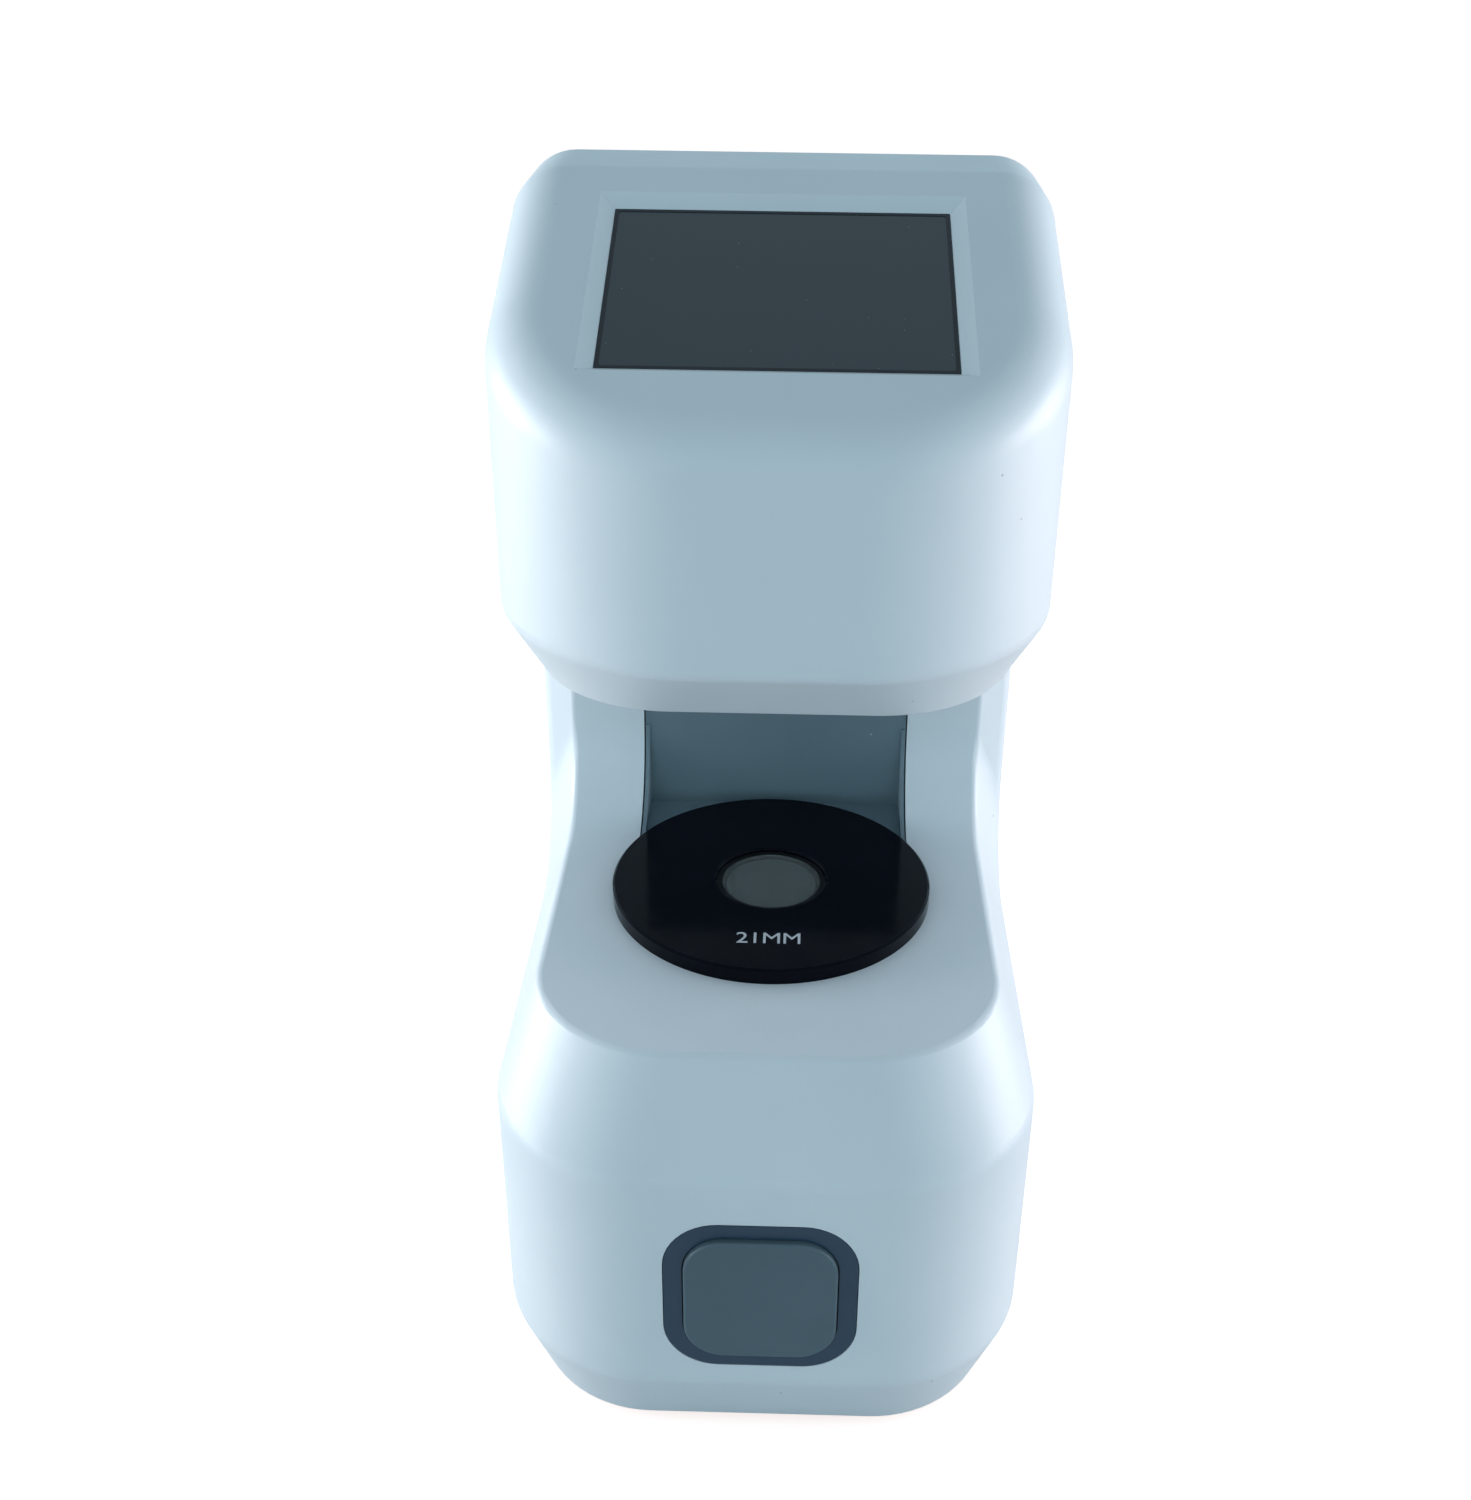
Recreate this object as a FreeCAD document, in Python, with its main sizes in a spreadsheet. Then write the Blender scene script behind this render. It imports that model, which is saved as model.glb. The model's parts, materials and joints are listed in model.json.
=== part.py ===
import FreeCAD, Part
import Sketcher
import math
import os
import re
from FreeCAD import Placement, Rotation, Vector

# Desk-top lensmeter: a C-shaped white casing with a display on its sloping head, a black lens table
# on the arm below it, and one measuring button on the front. Millimetres, +Z up, the front faces -Y.
# The origin is the middle of the footprint, on the surface that the feet stand on.

doc = FreeCAD.newDocument("Lensmeter")
sheet = doc.addObject("Spreadsheet::Sheet", "Sizes")

drivingSizes = [
    # the whole casing
    ("body_wide", 96, "width of the head, the column and the base"),
    ("body_deep", 116, "base front to the back of the rear cover"),
    ("body_high", 207.5, "resting surface to the flat top of the head"),
    ("foot_proud", 1.5, "how far the feet stand below the base plate"),
    ("wall", 2.5, "wall of the casing"),
    ("fit_gap", 0.3, "clearance round a piece that drops into an opening"),
    ("slide_gap", 0.1, "clearance of a close sliding fit"),
    # base
    ("axis_setback", 63.5, "base front to the optical axis"),
    ("platform_z", 79, "height of the flat platform under the lens table"),
    ("shoulder_drop", 17, "height of the slope round the platform"),
    ("front_slope_run", 13, "depth of that slope at the front"),
    ("side_slope_run", 6.5, "width of the slope at the sides, all round the throat"),
    ("base_corner", 28, "plan radius of the base's front corners"),
    ("platform_corner", 25, "plan radius of the platform's front corners"),
    ("bottom_bevel_high", 14.5, "height of the bevel at the foot of the base"),
    ("bottom_bevel_run", 5.5, "inset of that bevel"),
    # column and throat
    ("column_reach", 33.5, "optical axis to the front of the column"),
    ("column_side_run", 5, "depth of the slope on the column's front edges"),
    ("throat_round", 18, "concave radius between the platform and the column"),
    ("throat_top_round", 10, "concave radius between the column and the head"),
    # head
    ("head_reach", 35.5, "optical axis to the front of the head"),
    ("under_z", 128.7, "height of the head's underside"),
    ("chamfer_high", 12.8, "height of the slope round the underside"),
    ("head_under_run", 13.2, "depth of that slope at the front"),
    ("head_corner", 36, "plan radius of the head's front corners"),
    ("head_under_corner", 24, "plan radius of the underside's front corners"),
    ("screen_edge_z", 180.2, "height where the display face would meet the head's front"),
    ("screen_tilt", 22.4, "slope of the display face, in degrees"),
    # soft edges of the casing
    ("top_round", 10, "rounding round the display face and the top"),
    ("brow_round", 8, "rounding between the display face and the flat top"),
    ("ridge_round", 4, "rounding of the ridge outside each slope"),
    ("platform_round", 1.5, "rounding of the edge inside each slope"),
    ("bottom_ridge_round", 6, "rounding of the ridge above the bottom bevel"),
    ("bottom_edge_round", 1.5, "rounding of the casing's lowest edge"),
    ("rear_round", 4, "rounding round the back"),
    # rear cover and its screws
    ("cover_deep", 6, "depth of the tray-shaped rear cover"),
    ("cover_screw_x", 42.5, "rear cover screws, from the middle plane"),
    ("cover_screw_low_z", 30, "lowest rear cover screws"),
    ("cover_screw_step", 78, "rear cover screws, spacing up the back"),
    ("post_long", 12, "length of the posts that take the rear cover screws"),
    ("post_radius", 3.5, "radius of every screw post"),
    ("screw_radius", 1.5, "thread of the casing screws"),
    ("screw_head_radius", 2.7, "head of the casing screws"),
    ("screw_head_deep", 1.8, "depth of those heads"),
    ("screw_long", 11, "length of the casing screws under the head"),
    # base plate and feet
    ("base_plate_thick", 2.5, "thickness of the base plate"),
    ("base_screw_x", 31, "base plate screws, from the middle plane"),
    ("base_screw_front", 17, "base front to the front base plate screws"),
    ("base_screw_rear", 24.5, "optical axis to the rear base plate screws"),
    ("foot_radius", 6, "radius of the rubber feet"),
    ("foot_sunk", 0.8, "how far the feet are let into the base plate"),
    ("foot_x", 29, "feet, from the middle plane"),
    ("foot_front", 31, "base front to the front feet"),
    ("foot_rear", 14, "back to the rear feet"),
    # throat panel
    ("panel_wide", 54, "slot behind the lens table, which the panel lines"),
    ("panel_high", 39, "height of the panel's slot"),
    ("panel_sunk", 0.4, "panel front, behind the front of the column"),
    ("panel_cheek", 0.8, "cheeks that line the sides of the slot along its curve"),
    ("panel_foot", 0.6, "foot that lines the floor of the slot, under the lens table"),
    ("panel_flange", 1.2, "thickness of the panel's flange inside the wall"),
    ("panel_lip", 1.8, "how far the flange laps the wall"),
    # lens table and window
    ("disc_radius", 30.4, "lens table disc"),
    ("disc_thick", 3, "lens table disc"),
    ("disc_edge", 0.4, "chamfer on the disc"),
    ("aperture_radius", 10.5, "hole in the disc"),
    ("ring_wall", 1, "wall of the ring that stands inside the disc's hole"),
    ("ring_sunk", 0.7, "top of the ring, below the top of the disc"),
    ("ring_flange", 2.2, "flange of the ring, under the platform"),
    ("ring_flange_thick", 1.5, "flange of the ring, under the platform"),
    ("ring_ledge", 0.8, "ledge that the window rests on"),
    ("window_thick", 1.5, "table window"),
    ("magnet_radius", 2, "magnets under the platform and in the disc"),
    ("magnet_thick", 1.2, "magnets under the platform and in the disc"),
    ("magnet_circle", 24, "radius of the circle that the magnets are on"),
    # measuring optics in the base
    ("tube_radius", 11.5, "sensor tube"),
    ("tube_wall", 2, "wall of both optical tubes"),
    ("tube_long", 30, "sensor tube below the ring"),
    ("flange_radius", 19, "flange of both optical tubes"),
    ("flange_thick", 2, "flange of both optical tubes"),
    ("boss_circle", 16, "radius of the circle that the optics screws are on"),
    ("boss_radius", 2.5, "bosses for the optics screws"),
    ("optics_screw_radius", 1, "thread of the optics screws"),
    ("optics_head_radius", 1.9, "head of the optics screws"),
    ("optics_head_deep", 1.4, "head of the optics screws and of every other small screw"),
    ("optics_screw_long", 4.5, "length of the optics screws under the head"),
    ("pinhole_drop", 15, "ring to the pinhole plate"),
    ("pinhole_thick", 0.5, "pinhole plate"),
    ("pinhole_radius", 0.5, "holes in the pinhole plate"),
    ("pinhole_pitch", 3.4, "spacing of those holes"),
    ("lens_radius", 6, "sensor lens"),
    ("lens_edge", 1.2, "edge thickness of both lenses"),
    ("lens_curve", 14, "radius of curvature of the sensor lens"),
    ("cell_high", 6, "lens cell"),
    ("circuit_thick", 1.6, "every circuit board"),
    ("sensor_board_wide", 34, "sensor board"),
    ("sensor_wide", 8, "image sensor"),
    ("sensor_thick", 1.2, "image sensor"),
    # light source in the head
    ("emitter_window_radius", 8, "window under the head"),
    ("emitter_window_lap", 1, "ledge above that window"),
    ("emitter_radius", 11, "emitter tube"),
    ("emitter_long", 34, "emitter tube"),
    ("emitter_boss_high", 3, "bosses for the emitter tube's flange"),
    ("collimator_curve", 18, "radius of curvature of the collimator lens"),
    ("collimator_rise", 10, "foot of the emitter tube to the collimator lens"),
    ("retainer_high", 2, "retaining ring above the collimator lens"),
    ("retainer_wall", 1.4, "retaining ring above the collimator lens"),
    ("emitter_board_wide", 26, "emitter board and heat sink"),
    ("led_radius", 2.5, "light emitting diode"),
    ("led_high", 1.5, "light emitting diode"),
    ("sink_base", 2, "plate of the heat sink"),
    ("sink_high", 9, "whole height of the heat sink"),
    ("fin_thick", 1, "fins of the heat sink"),
    # display
    ("screen_wide", 57, "clear opening of the display"),
    ("screen_high", 42.8, "clear opening of the display"),
    ("screen_up", 40.4, "up the face, from its lower edge to the display's middle"),
    ("screen_frame", 2.6, "sloping frame round the display opening"),
    ("screen_sunk", 1.8, "depth of the glass below the face"),
    ("glass_lap", 1.5, "how far the glass goes under the frame"),
    ("glass_thick", 1.1, "display glass"),
    ("lcd_thick", 2.4, "display panel"),
    ("lcd_inset", 1, "display panel, smaller than the glass all round"),
    ("frame_margin", 4.5, "display frame, larger than the glass all round"),
    ("frame_thick", 1.5, "display frame"),
    ("frame_opening", 8, "display frame, width of its four sides"),
    ("display_post_radius", 2.2, "posts that take the display frame's screws"),
    # measuring button
    ("button_z", 37, "height of the button's middle"),
    ("bezel_wide", 33.4, "button bezel"),
    ("bezel_high", 32.7, "button bezel"),
    ("bezel_corner", 9.5, "button bezel"),
    ("bezel_thick", 3, "button bezel"),
    ("bezel_gap", 0.15, "gap round the bezel"),
    ("button_wide", 26.5, "button cap, square"),
    ("button_corner", 7, "button cap"),
    ("button_gap", 0.25, "gap round the button"),
    ("button_proud", 1.1, "button cap, in front of the bezel"),
    ("button_edge", 0.5, "rounding of the button's front edge"),
    ("button_travel", 1, "travel of the button"),
    ("button_lip", 1.2, "flange that keeps the button behind the bezel"),
    ("button_lip_thick", 1.2, "thickness of that flange"),
    ("spring_radius", 6, "button spring"),
    ("spring_wire", 0.6, "wire of the button spring"),
    ("spring_long", 6.6, "button spring"),
    ("spring_pitch", 1.9, "pitch of the button spring"),
    ("stem_radius", 2, "stem behind the button"),
    ("switch_wide", 6, "push switch"),
    ("switch_high", 3.5, "push switch"),
    ("plunger_radius", 1.6, "plunger of the push switch"),
    ("button_board_high", 18, "button board"),
    ("board_post_x", 20, "posts of the button board, from the middle plane"),
    # battery
    ("battery_wide", 50, "battery pack"),
    ("battery_long", 54, "battery pack"),
    ("battery_high", 14, "battery pack"),
    ("battery_corner", 3, "battery pack"),
    ("tray_wall", 1.2, "battery tray"),
    ("tray_high", 7, "battery tray"),
    # main board
    ("main_board_wide", 68, "main board"),
    ("main_board_low_z", 46, "lower edge of the main board"),
    ("main_board_high", 66, "main board"),
    ("standoff_long", 9, "standoffs between the main board and the rear cover"),
    ("standoff_radius", 2.5, "standoffs"),
    ("standoff_inset", 4, "standoffs, from the board's edges"),
    ("board_screw_radius", 1.1, "main board screws"),
    ("board_head_radius", 2.1, "main board screws"),
    ("chip_wide", 14, "processor"),
    ("chip_thick", 1.2, "processor"),
    ("buzzer_radius", 6, "buzzer"),
    ("buzzer_high", 5, "buzzer"),
    ("ribbon_thick", 0.3, "ribbon cables"),
    ("ribbon_wide", 16, "display ribbon"),
    # rear switch and power inlet
    ("rear_parts_x", 18, "rear switch and inlet, from the middle plane"),
    ("rear_parts_z", 28, "rear switch and inlet, height"),
    ("bezel_recess", 1.6, "depth of the recess that the rear switch sits in"),
    ("rocker_long", 13, "rocker, across its pivot"),
    ("rocker_wide", 9, "rocker, along its pivot"),
    ("rocker_below", 4, "rocker, below its pivot"),
    ("rocker_tilt", 8, "rocker, to each side, in degrees"),
    ("rocker_sunk", 1.4, "middle of the rocker's face, below the back of the casing"),
    ("rocker_setback", 6.4, "rocker's pivot, below the back of the casing"),
    ("trunnion_radius", 1.2, "rocker's pivot"),
    ("trunnion_long", 1.2, "rocker's pivot, each side"),
    ("switch_frame_wall", 1.8, "wall of the rear switch's frame"),
    ("switch_frame_lip", 1.4, "flange of that frame"),
    ("switch_frame_deep", 13, "depth of that frame"),
    ("inlet_wide", 9, "power inlet socket, across"),
    ("inlet_high", 3.3, "power inlet socket, up"),
    ("inlet_corner", 1.5, "power inlet socket"),
    ("inlet_deep", 9, "power inlet socket"),
    ("inlet_wall", 0.35, "sheet of the socket"),
    ("inlet_tongue_high", 0.7, "tongue inside the socket"),
    ("inlet_flange", 2.5, "flange against the inside of the cover, larger than the socket all round"),
    ("inlet_flange_thick", 1, "that flange"),
]
derivedSizes = [
    ("front_y", "-body_deep / 2"),
    ("rear_y", "body_deep / 2"),
    ("axis_y", "axis_setback - body_deep / 2"),
    ("column_y", "axis_y + column_reach"),
    ("head_y", "axis_y - head_reach"),
    ("parting_y", "rear_y - cover_deep"),
    ("cover_inner_y", "rear_y - wall"),
    ("shoulder_z", "platform_z - shoulder_drop"),
    ("head_ridge_z", "under_z + chamfer_high"),
    ("plate_top_z", "foot_proud + base_plate_thick"),
    ("roof_z", "platform_z - wall"),
    ("head_floor_z", "under_z + wall"),
    ("ring_bottom_z", "roof_z - ring_flange_thick"),
    ("ring_radius", "aperture_radius - slide_gap"),
    ("bore_radius", "ring_radius - ring_wall"),
    ("screen_y", "head_y + screen_up * cos(screen_tilt)"),
    ("screen_z", "screen_edge_z + screen_up * sin(screen_tilt)"),
    ("glass_wide", "screen_wide + 2 * glass_lap"),
    ("glass_high", "screen_high + 2 * glass_lap"),
    ("lcd_depth", "screen_sunk + glass_thick"),
    ("frame_depth", "lcd_depth + lcd_thick + slide_gap"),
    ("frame_wide", "glass_wide + 2 * frame_margin"),
    ("frame_high", "glass_high + 2 * frame_margin"),
    ("display_post_x", "(frame_wide + glass_wide) / 4"),
    ("display_post_up", "(frame_high + glass_high) / 4"),
    ("bezel_back_y", "front_y + bezel_thick"),
    ("button_back_y", "bezel_back_y + slide_gap + button_lip_thick"),
    ("button_board_y", "button_back_y + spring_long"),
    ("main_board_y", "cover_inner_y - standoff_long - circuit_thick"),
    ("emitter_board_z", "head_floor_z + emitter_long"),
    ("emitter_flange_z", "head_floor_z + emitter_boss_high"),
    ("base_front_y", "front_y + bottom_bevel_run + wall + fit_gap"),
    ("base_half", "body_wide / 2 - bottom_bevel_run - wall - fit_gap"),
    ("rocker_rise", "rocker_long / 2 * tan(rocker_tilt)"),
    ("rocker_face", "rocker_setback - rocker_sunk"),
    ("rocker_reach", "rocker_long / 2 * cos(rocker_tilt) + (rocker_face + rocker_rise) * sin(rocker_tilt)"),
    ("switch_opening_long", "2 * rocker_reach + 2 * slide_gap"),
    ("switch_opening_wide", "rocker_wide + 4 * slide_gap"),
    ("switch_body_long", "switch_opening_long + 2 * switch_frame_wall"),
    ("switch_body_wide", "switch_opening_wide + 2 * switch_frame_wall"),
    ("switch_lip_long", "switch_body_long + 2 * switch_frame_lip"),
    ("switch_lip_wide", "switch_body_wide + 2 * switch_frame_lip"),
]
names = {row[0] for row in drivingSizes + derivedSizes}


def bound(text):
    """The expression with every size's name pointed at the sheet."""
    return re.sub(
        r"[a-z][a-z_]*[a-z]", lambda m: "Sizes." + m.group(0) if m.group(0) in names else m.group(0), text
    )


for line, (alias, value, note) in enumerate(drivingSizes, 1):
    sheet.set("A%d" % line, alias)
    sheet.set("B%d" % line, str(value))
    sheet.set("C%d" % line, note)
    sheet.setAlias("B%d" % line, alias)
doc.recompute()
for line, (alias, formula) in enumerate(derivedSizes, len(drivingSizes) + 1):
    sheet.set("A%d" % line, alias)
    sheet.set("B%d" % line, "=" + formula)
    sheet.setAlias("B%d" % line, alias)
doc.recompute()
subParts = []


def size(alias):
    return float(sheet.get(alias))


def worth(text):
    """The present value of an expression, for a sketch's first drawing."""
    return float(sheet.evalExpression(bound(text)))


def part(obj, label):
    """Marks a finished object as a sub-part, whose label names its file."""
    obj.Label = label
    subParts.append(obj)
    return obj


def place(obj, x="0", y="0", z="0", turn=None):
    """Binds an object's position to the sheet, after its fixed turn."""
    if turn is not None:
        obj.Placement = Placement(Vector(), turn)
    for axis, text in zip("xyz", (x, y, z)):
        obj.setExpression("Placement.Base." + axis, bound(text))
    return obj


def primitive(kind, sizes, x="0", y="0", z="0", turn=None):
    obj = doc.addObject("Part::" + kind, kind)
    for prop, text in sizes.items():
        obj.setExpression(prop, bound(text))
    return place(obj, x, y, z, turn)


alongY = Rotation(Vector(1, 0, 0), -90)  # a cylinder's own +Z becomes +Y
facingFront = Rotation(Vector(1, 0, 0), 90)  # a plate's own +Z becomes -Y
downward = Rotation(Vector(1, 0, 0), 180)


def rod(radius, long, x="0", y="0", z="0", turn=None):
    return primitive("Cylinder", {"Radius": radius, "Height": long}, x, y, z, turn)


def block(wide, deep, high, x, y, z):
    """A box that stands on z, centred on x and y."""
    return primitive(
        "Box",
        {"Length": wide, "Width": deep, "Height": high},
        "(%s) - (%s) / 2" % (x, wide),
        "(%s) - (%s) / 2" % (y, deep),
        z,
    )


def slab(wide, y, y_end, z, z_end, x="0"):
    """A box from y to y_end and from z to z_end, centred on x."""
    deep = "(%s) - (%s)" % (y_end, y)
    high = "(%s) - (%s)" % (z_end, z)
    return primitive(
        "Box", {"Length": wide, "Width": deep, "Height": high}, "(%s) - (%s) / 2" % (x, wide), y, z
    )


def fuse(shapes):
    if len(shapes) == 1:
        return shapes[0]
    obj = doc.addObject("Part::MultiFuse", "Fused")
    obj.Shapes = shapes
    return obj


def cut(base, tools):
    obj = doc.addObject("Part::Cut", "Cut")
    obj.Base = base
    obj.Tool = fuse(tools)
    return obj


def common(a, b):
    obj = doc.addObject("Part::MultiCommon", "Common")
    obj.Shapes = [a, b]
    return obj


def group(shapes):
    """Separate solids of the same kind, kept as one sub-part."""
    obj = doc.addObject("Part::Compound", "Group")
    obj.Links = shapes
    return obj


def plane(body, role):
    return [f for f in body.Origin.OriginFeatures if f.Role == role][0]


def sketchOn(body, role):
    sketch = body.newObject("Sketcher::SketchObject", "Sketch")
    sketch.AttachmentSupport = [(plane(body, role), "")]
    sketch.MapMode = "FlatFace"
    return sketch


def roundedOutline(sketch, wide, high, corner):
    """A rectangle with round corners, centred on the sketch's origin."""
    w, h, r = worth(wide) / 2, worth(high) / 2, worth(corner)
    sides = [
        ((-w + r, -h), (w - r, -h)),
        ((w, -h + r), (w, h - r)),
        ((w - r, h), (-w + r, h)),
        ((-w, h - r), (-w, -h + r)),
    ]
    centres = [(w - r, -h + r), (w - r, h - r), (-w + r, h - r), (-w + r, -h + r)]
    for (x1, y1), (x2, y2) in sides:
        sketch.addGeometry(Part.LineSegment(Vector(x1, y1, 0), Vector(x2, y2, 0)), False)
    for turn, (x, y) in enumerate(centres):
        circle = Part.Circle(Vector(x, y, 0), Vector(0, 0, 1), r)
        sketch.addGeometry(Part.ArcOfCircle(circle, (turn - 1) * math.pi / 2, turn * math.pi / 2), False)
    for side in range(4):
        arc = 4 + side
        sketch.addConstraint(Sketcher.Constraint("Tangent", side, 2, arc, 1))
        sketch.addConstraint(Sketcher.Constraint("Tangent", arc, 2, (side + 1) % 4, 1))
        sketch.addConstraint(Sketcher.Constraint("Vertical" if side % 2 else "Horizontal", side))
        if side:
            sketch.addConstraint(Sketcher.Constraint("Equal", 4, arc))
    sketch.addConstraint(Sketcher.Constraint("Symmetric", 0, 1, 2, 1, -1, 1))
    for kind, text, args in (
        ("DistanceX", wide, (3, 1, 1, 1)),
        ("DistanceY", high, (0, 1, 2, 2)),
        ("Radius", corner, (4,)),
    ):
        index = sketch.addConstraint(Sketcher.Constraint(kind, *args, worth(text)))
        sketch.setExpression("Constraints[%d]" % index, bound(text))


def plateBody(name, wide, high, corner, thick):
    """A round-cornered plate standing on its own XY plane, thickness along +Z."""
    body = doc.addObject("PartDesign::Body", name)
    sketch = sketchOn(body, "XY_Plane")
    roundedOutline(sketch, wide, high, corner)
    pad = body.newObject("PartDesign::Pad", "Pad")
    pad.Profile = sketch
    pad.setExpression("Length", bound(thick))
    return body


def outlineBody(name, outline, role):
    """A body with a closed sketch through the given points, every point bound to the sheet."""
    body = doc.addObject("PartDesign::Body", name)
    sketch = sketchOn(body, role)
    points = [Vector(worth(across), worth(up), 0) for across, up in outline]
    for i, start in enumerate(points):
        sketch.addGeometry(Part.LineSegment(start, points[(i + 1) % len(points)]), False)
    for i in range(len(points)):
        sketch.addConstraint(Sketcher.Constraint("Coincident", i, 2, (i + 1) % len(points), 1))
    for i, point in enumerate(outline):
        for kind, text, axis in zip(("DistanceX", "DistanceY"), point, (-2, -1)):
            if text == "0":
                sketch.addConstraint(Sketcher.Constraint("PointOnObject", i, 1, axis))
            else:
                index = sketch.addConstraint(Sketcher.Constraint(kind, -1, 1, i, 1, worth(text)))
                sketch.setExpression("Constraints[%d]" % index, bound(text))
    return body, sketch


def turnedBody(name, outline):
    """A turned piece: its half section is given as (radius, height) pairs, turned about Z."""
    body, sketch = outlineBody(name, outline, "XZ_Plane")
    turned = body.newObject("PartDesign::Revolution", "Revolution")
    turned.Profile = sketch
    turned.ReferenceAxis = (sketch, ["V_Axis"])
    turned.Angle = 360
    return body


# casing: one shell, split at the parting plane into the main housing and the rear cover


def planOutline(half, front, rear, corner, z):
    """Plan view at height z: round front corners, square rear ones."""
    bend = corner * (1 - math.sqrt(0.5))
    p = [
        Vector(-half, rear, z),
        Vector(-half, front + corner, z),
        Vector(-half + bend, front + bend, z),
        Vector(-half + corner, front, z),
        Vector(half - corner, front, z),
        Vector(half - bend, front + bend, z),
        Vector(half, front + corner, z),
        Vector(half, rear, z),
    ]
    return Part.Wire(
        [
            Part.makeLine(p[0], p[1]),
            Part.Arc(p[1], p[2], p[3]).toShape(),
            Part.makeLine(p[3], p[4]),
            Part.Arc(p[4], p[5], p[6]).toShape(),
            Part.makeLine(p[6], p[7]),
            Part.makeLine(p[7], p[0]),
        ]
    )


def throatOutline(x, front, low, back, high, lowRound, highRound):
    """Side view of the throat at x: the platform, the column's front and the head's underside."""
    low45, high45 = lowRound * (1 - math.sqrt(0.5)), highRound * (1 - math.sqrt(0.5))
    p = [
        Vector(x, front, low),
        Vector(x, back - lowRound, low),
        Vector(x, back - low45, low + low45),
        Vector(x, back, low + lowRound),
        Vector(x, back, high - highRound),
        Vector(x, back - high45, high - high45),
        Vector(x, back - highRound, high),
        Vector(x, front, high),
    ]
    return Part.Wire(
        [
            Part.makeLine(p[0], p[1]),
            Part.Arc(p[1], p[2], p[3]).toShape(),
            Part.makeLine(p[3], p[4]),
            Part.Arc(p[4], p[5], p[6]).toShape(),
            Part.makeLine(p[6], p[7]),
            Part.makeLine(p[7], p[0]),
        ]
    )


def throatTool(inset):
    """What is cut out of the column: straight between the side slopes, and wider towards both sides."""
    half = size("body_wide") / 2 - inset
    flat = half - size("side_slope_run")
    front = size("front_y") - size("wall")
    low, back = size("platform_z") - inset, size("column_y") + inset
    high = size("under_z") + inset
    rounds = size("throat_round") + inset, size("throat_top_round") + inset

    def section(x, share):
        """The outline on the slope: share is 0 at its inner edge and 1 at the casing's side."""
        return throatOutline(
            x,
            front,
            low - size("shoulder_drop") * share,
            back + size("column_side_run") * share,
            high + size("chamfer_high") * share,
            *rounds,
        )

    beyond = 2  # the slope runs on past the side, so that the cut is clean
    reach = flat + beyond * (half - flat)
    middle = Part.Face(section(-flat, 0)).extrude(Vector(2 * flat, 0, 0))
    sides = [Part.makeLoft([section(s * flat, 0), section(s * reach, beyond)], True, True) for s in (1, -1)]
    return middle.fuse(sides)


def casingSolid(inset):
    """The casing's outer form, or with an inset of one wall, the space inside it."""
    half = size("body_wide") / 2 - inset
    front, rear, top = size("front_y") + inset, size("rear_y") - inset, size("body_high") - inset
    flat = half - size("side_slope_run")
    platform, shoulder = size("platform_z") - inset, size("shoulder_z") - inset
    under, ridge = size("under_z") + inset, size("head_ridge_z") + inset
    bottom = size("foot_proud") - (size("wall") if inset else 0)
    run = size("bottom_bevel_run")
    corner = size("base_corner") - inset
    base = Part.makeLoft(
        [
            planOutline(half - run, front + run, rear, corner - run, bottom),
            planOutline(half, front, rear, corner, size("foot_proud") + size("bottom_bevel_high")),
            planOutline(half, front, rear, corner, shoulder),
            planOutline(
                flat, front + size("front_slope_run"), rear, size("platform_corner") - inset, platform
            ),
        ],
        True,
        True,
    )
    headFront = size("head_y") + inset
    headCorner = size("head_corner") - inset
    underFront = headFront + size("head_under_run")
    headPlan = Part.makeLoft(
        [
            planOutline(flat, underFront, rear, size("head_under_corner") - inset, under),
            planOutline(half, headFront, rear, headCorner, ridge),
            planOutline(half, headFront, rear, headCorner, top + size("wall")),
        ],
        True,
        True,
    )
    slope = math.tan(math.radians(size("screen_tilt")))
    edge = size("screen_edge_z") - inset / math.cos(math.radians(size("screen_tilt")))
    before = size("head_y") - size("body_deep") / 4
    beyond = rear + size("wall")
    brow = size("head_y") + (top - edge) / slope
    profile = [
        (before, under - size("wall")),
        (before, edge + (before - size("head_y")) * slope),
        (brow, top),
        (beyond, top),
        (beyond, under - size("wall")),
    ]
    corners = [Vector(-size("body_wide"), y, z) for y, z in profile]
    side = Part.Face(Part.makePolygon(corners + corners[:1])).extrude(Vector(2 * size("body_wide"), 0, 0))
    head = headPlan.common(side)
    start = size("column_y") + inset - size("throat_round") - inset
    column = Part.makeBox(2 * half, rear - start, ridge - shoulder, Vector(-half, start, shoulder))
    return base.fuse([head, column.cut(throatTool(inset))]).removeSplitter().Solids[0]


hair = 0.01  # edges nearer to each other than this are in the same place


def level(box, z):
    return abs(box.ZMin - z) < hair and abs(box.ZMax - z) < hair


def across(box):
    """An edge that runs from side to side in one plane of constant Y."""
    return box.YMax - box.YMin < hair


def atRear(box):
    return abs(box.YMin - size("rear_y")) < hair


def onSide(box, x):
    return box.XMax - box.XMin < hair and abs(abs(box.XMin) - x) < hair


def soften(shape, radius, wanted):
    edges = [edge for edge in shape.Edges if wanted(edge.BoundBox)]
    if not edges:
        raise RuntimeError("no edges to soften")
    return shape.makeFillet(radius, edges)


def roundTop(shape, inset):
    """Rounds the edges between the casing's walls and its display face and flat top."""
    top = size("body_high") - inset
    rear = size("rear_y") - inset
    edge = size("screen_edge_z") - inset / math.cos(math.radians(size("screen_tilt")))

    def wanted(box):
        isBrow = across(box) and level(box, top)
        return box.ZMin > edge - hair and abs(box.YMin - rear) > hair and not isBrow

    return soften(shape, size("top_round") - inset, wanted)


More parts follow.
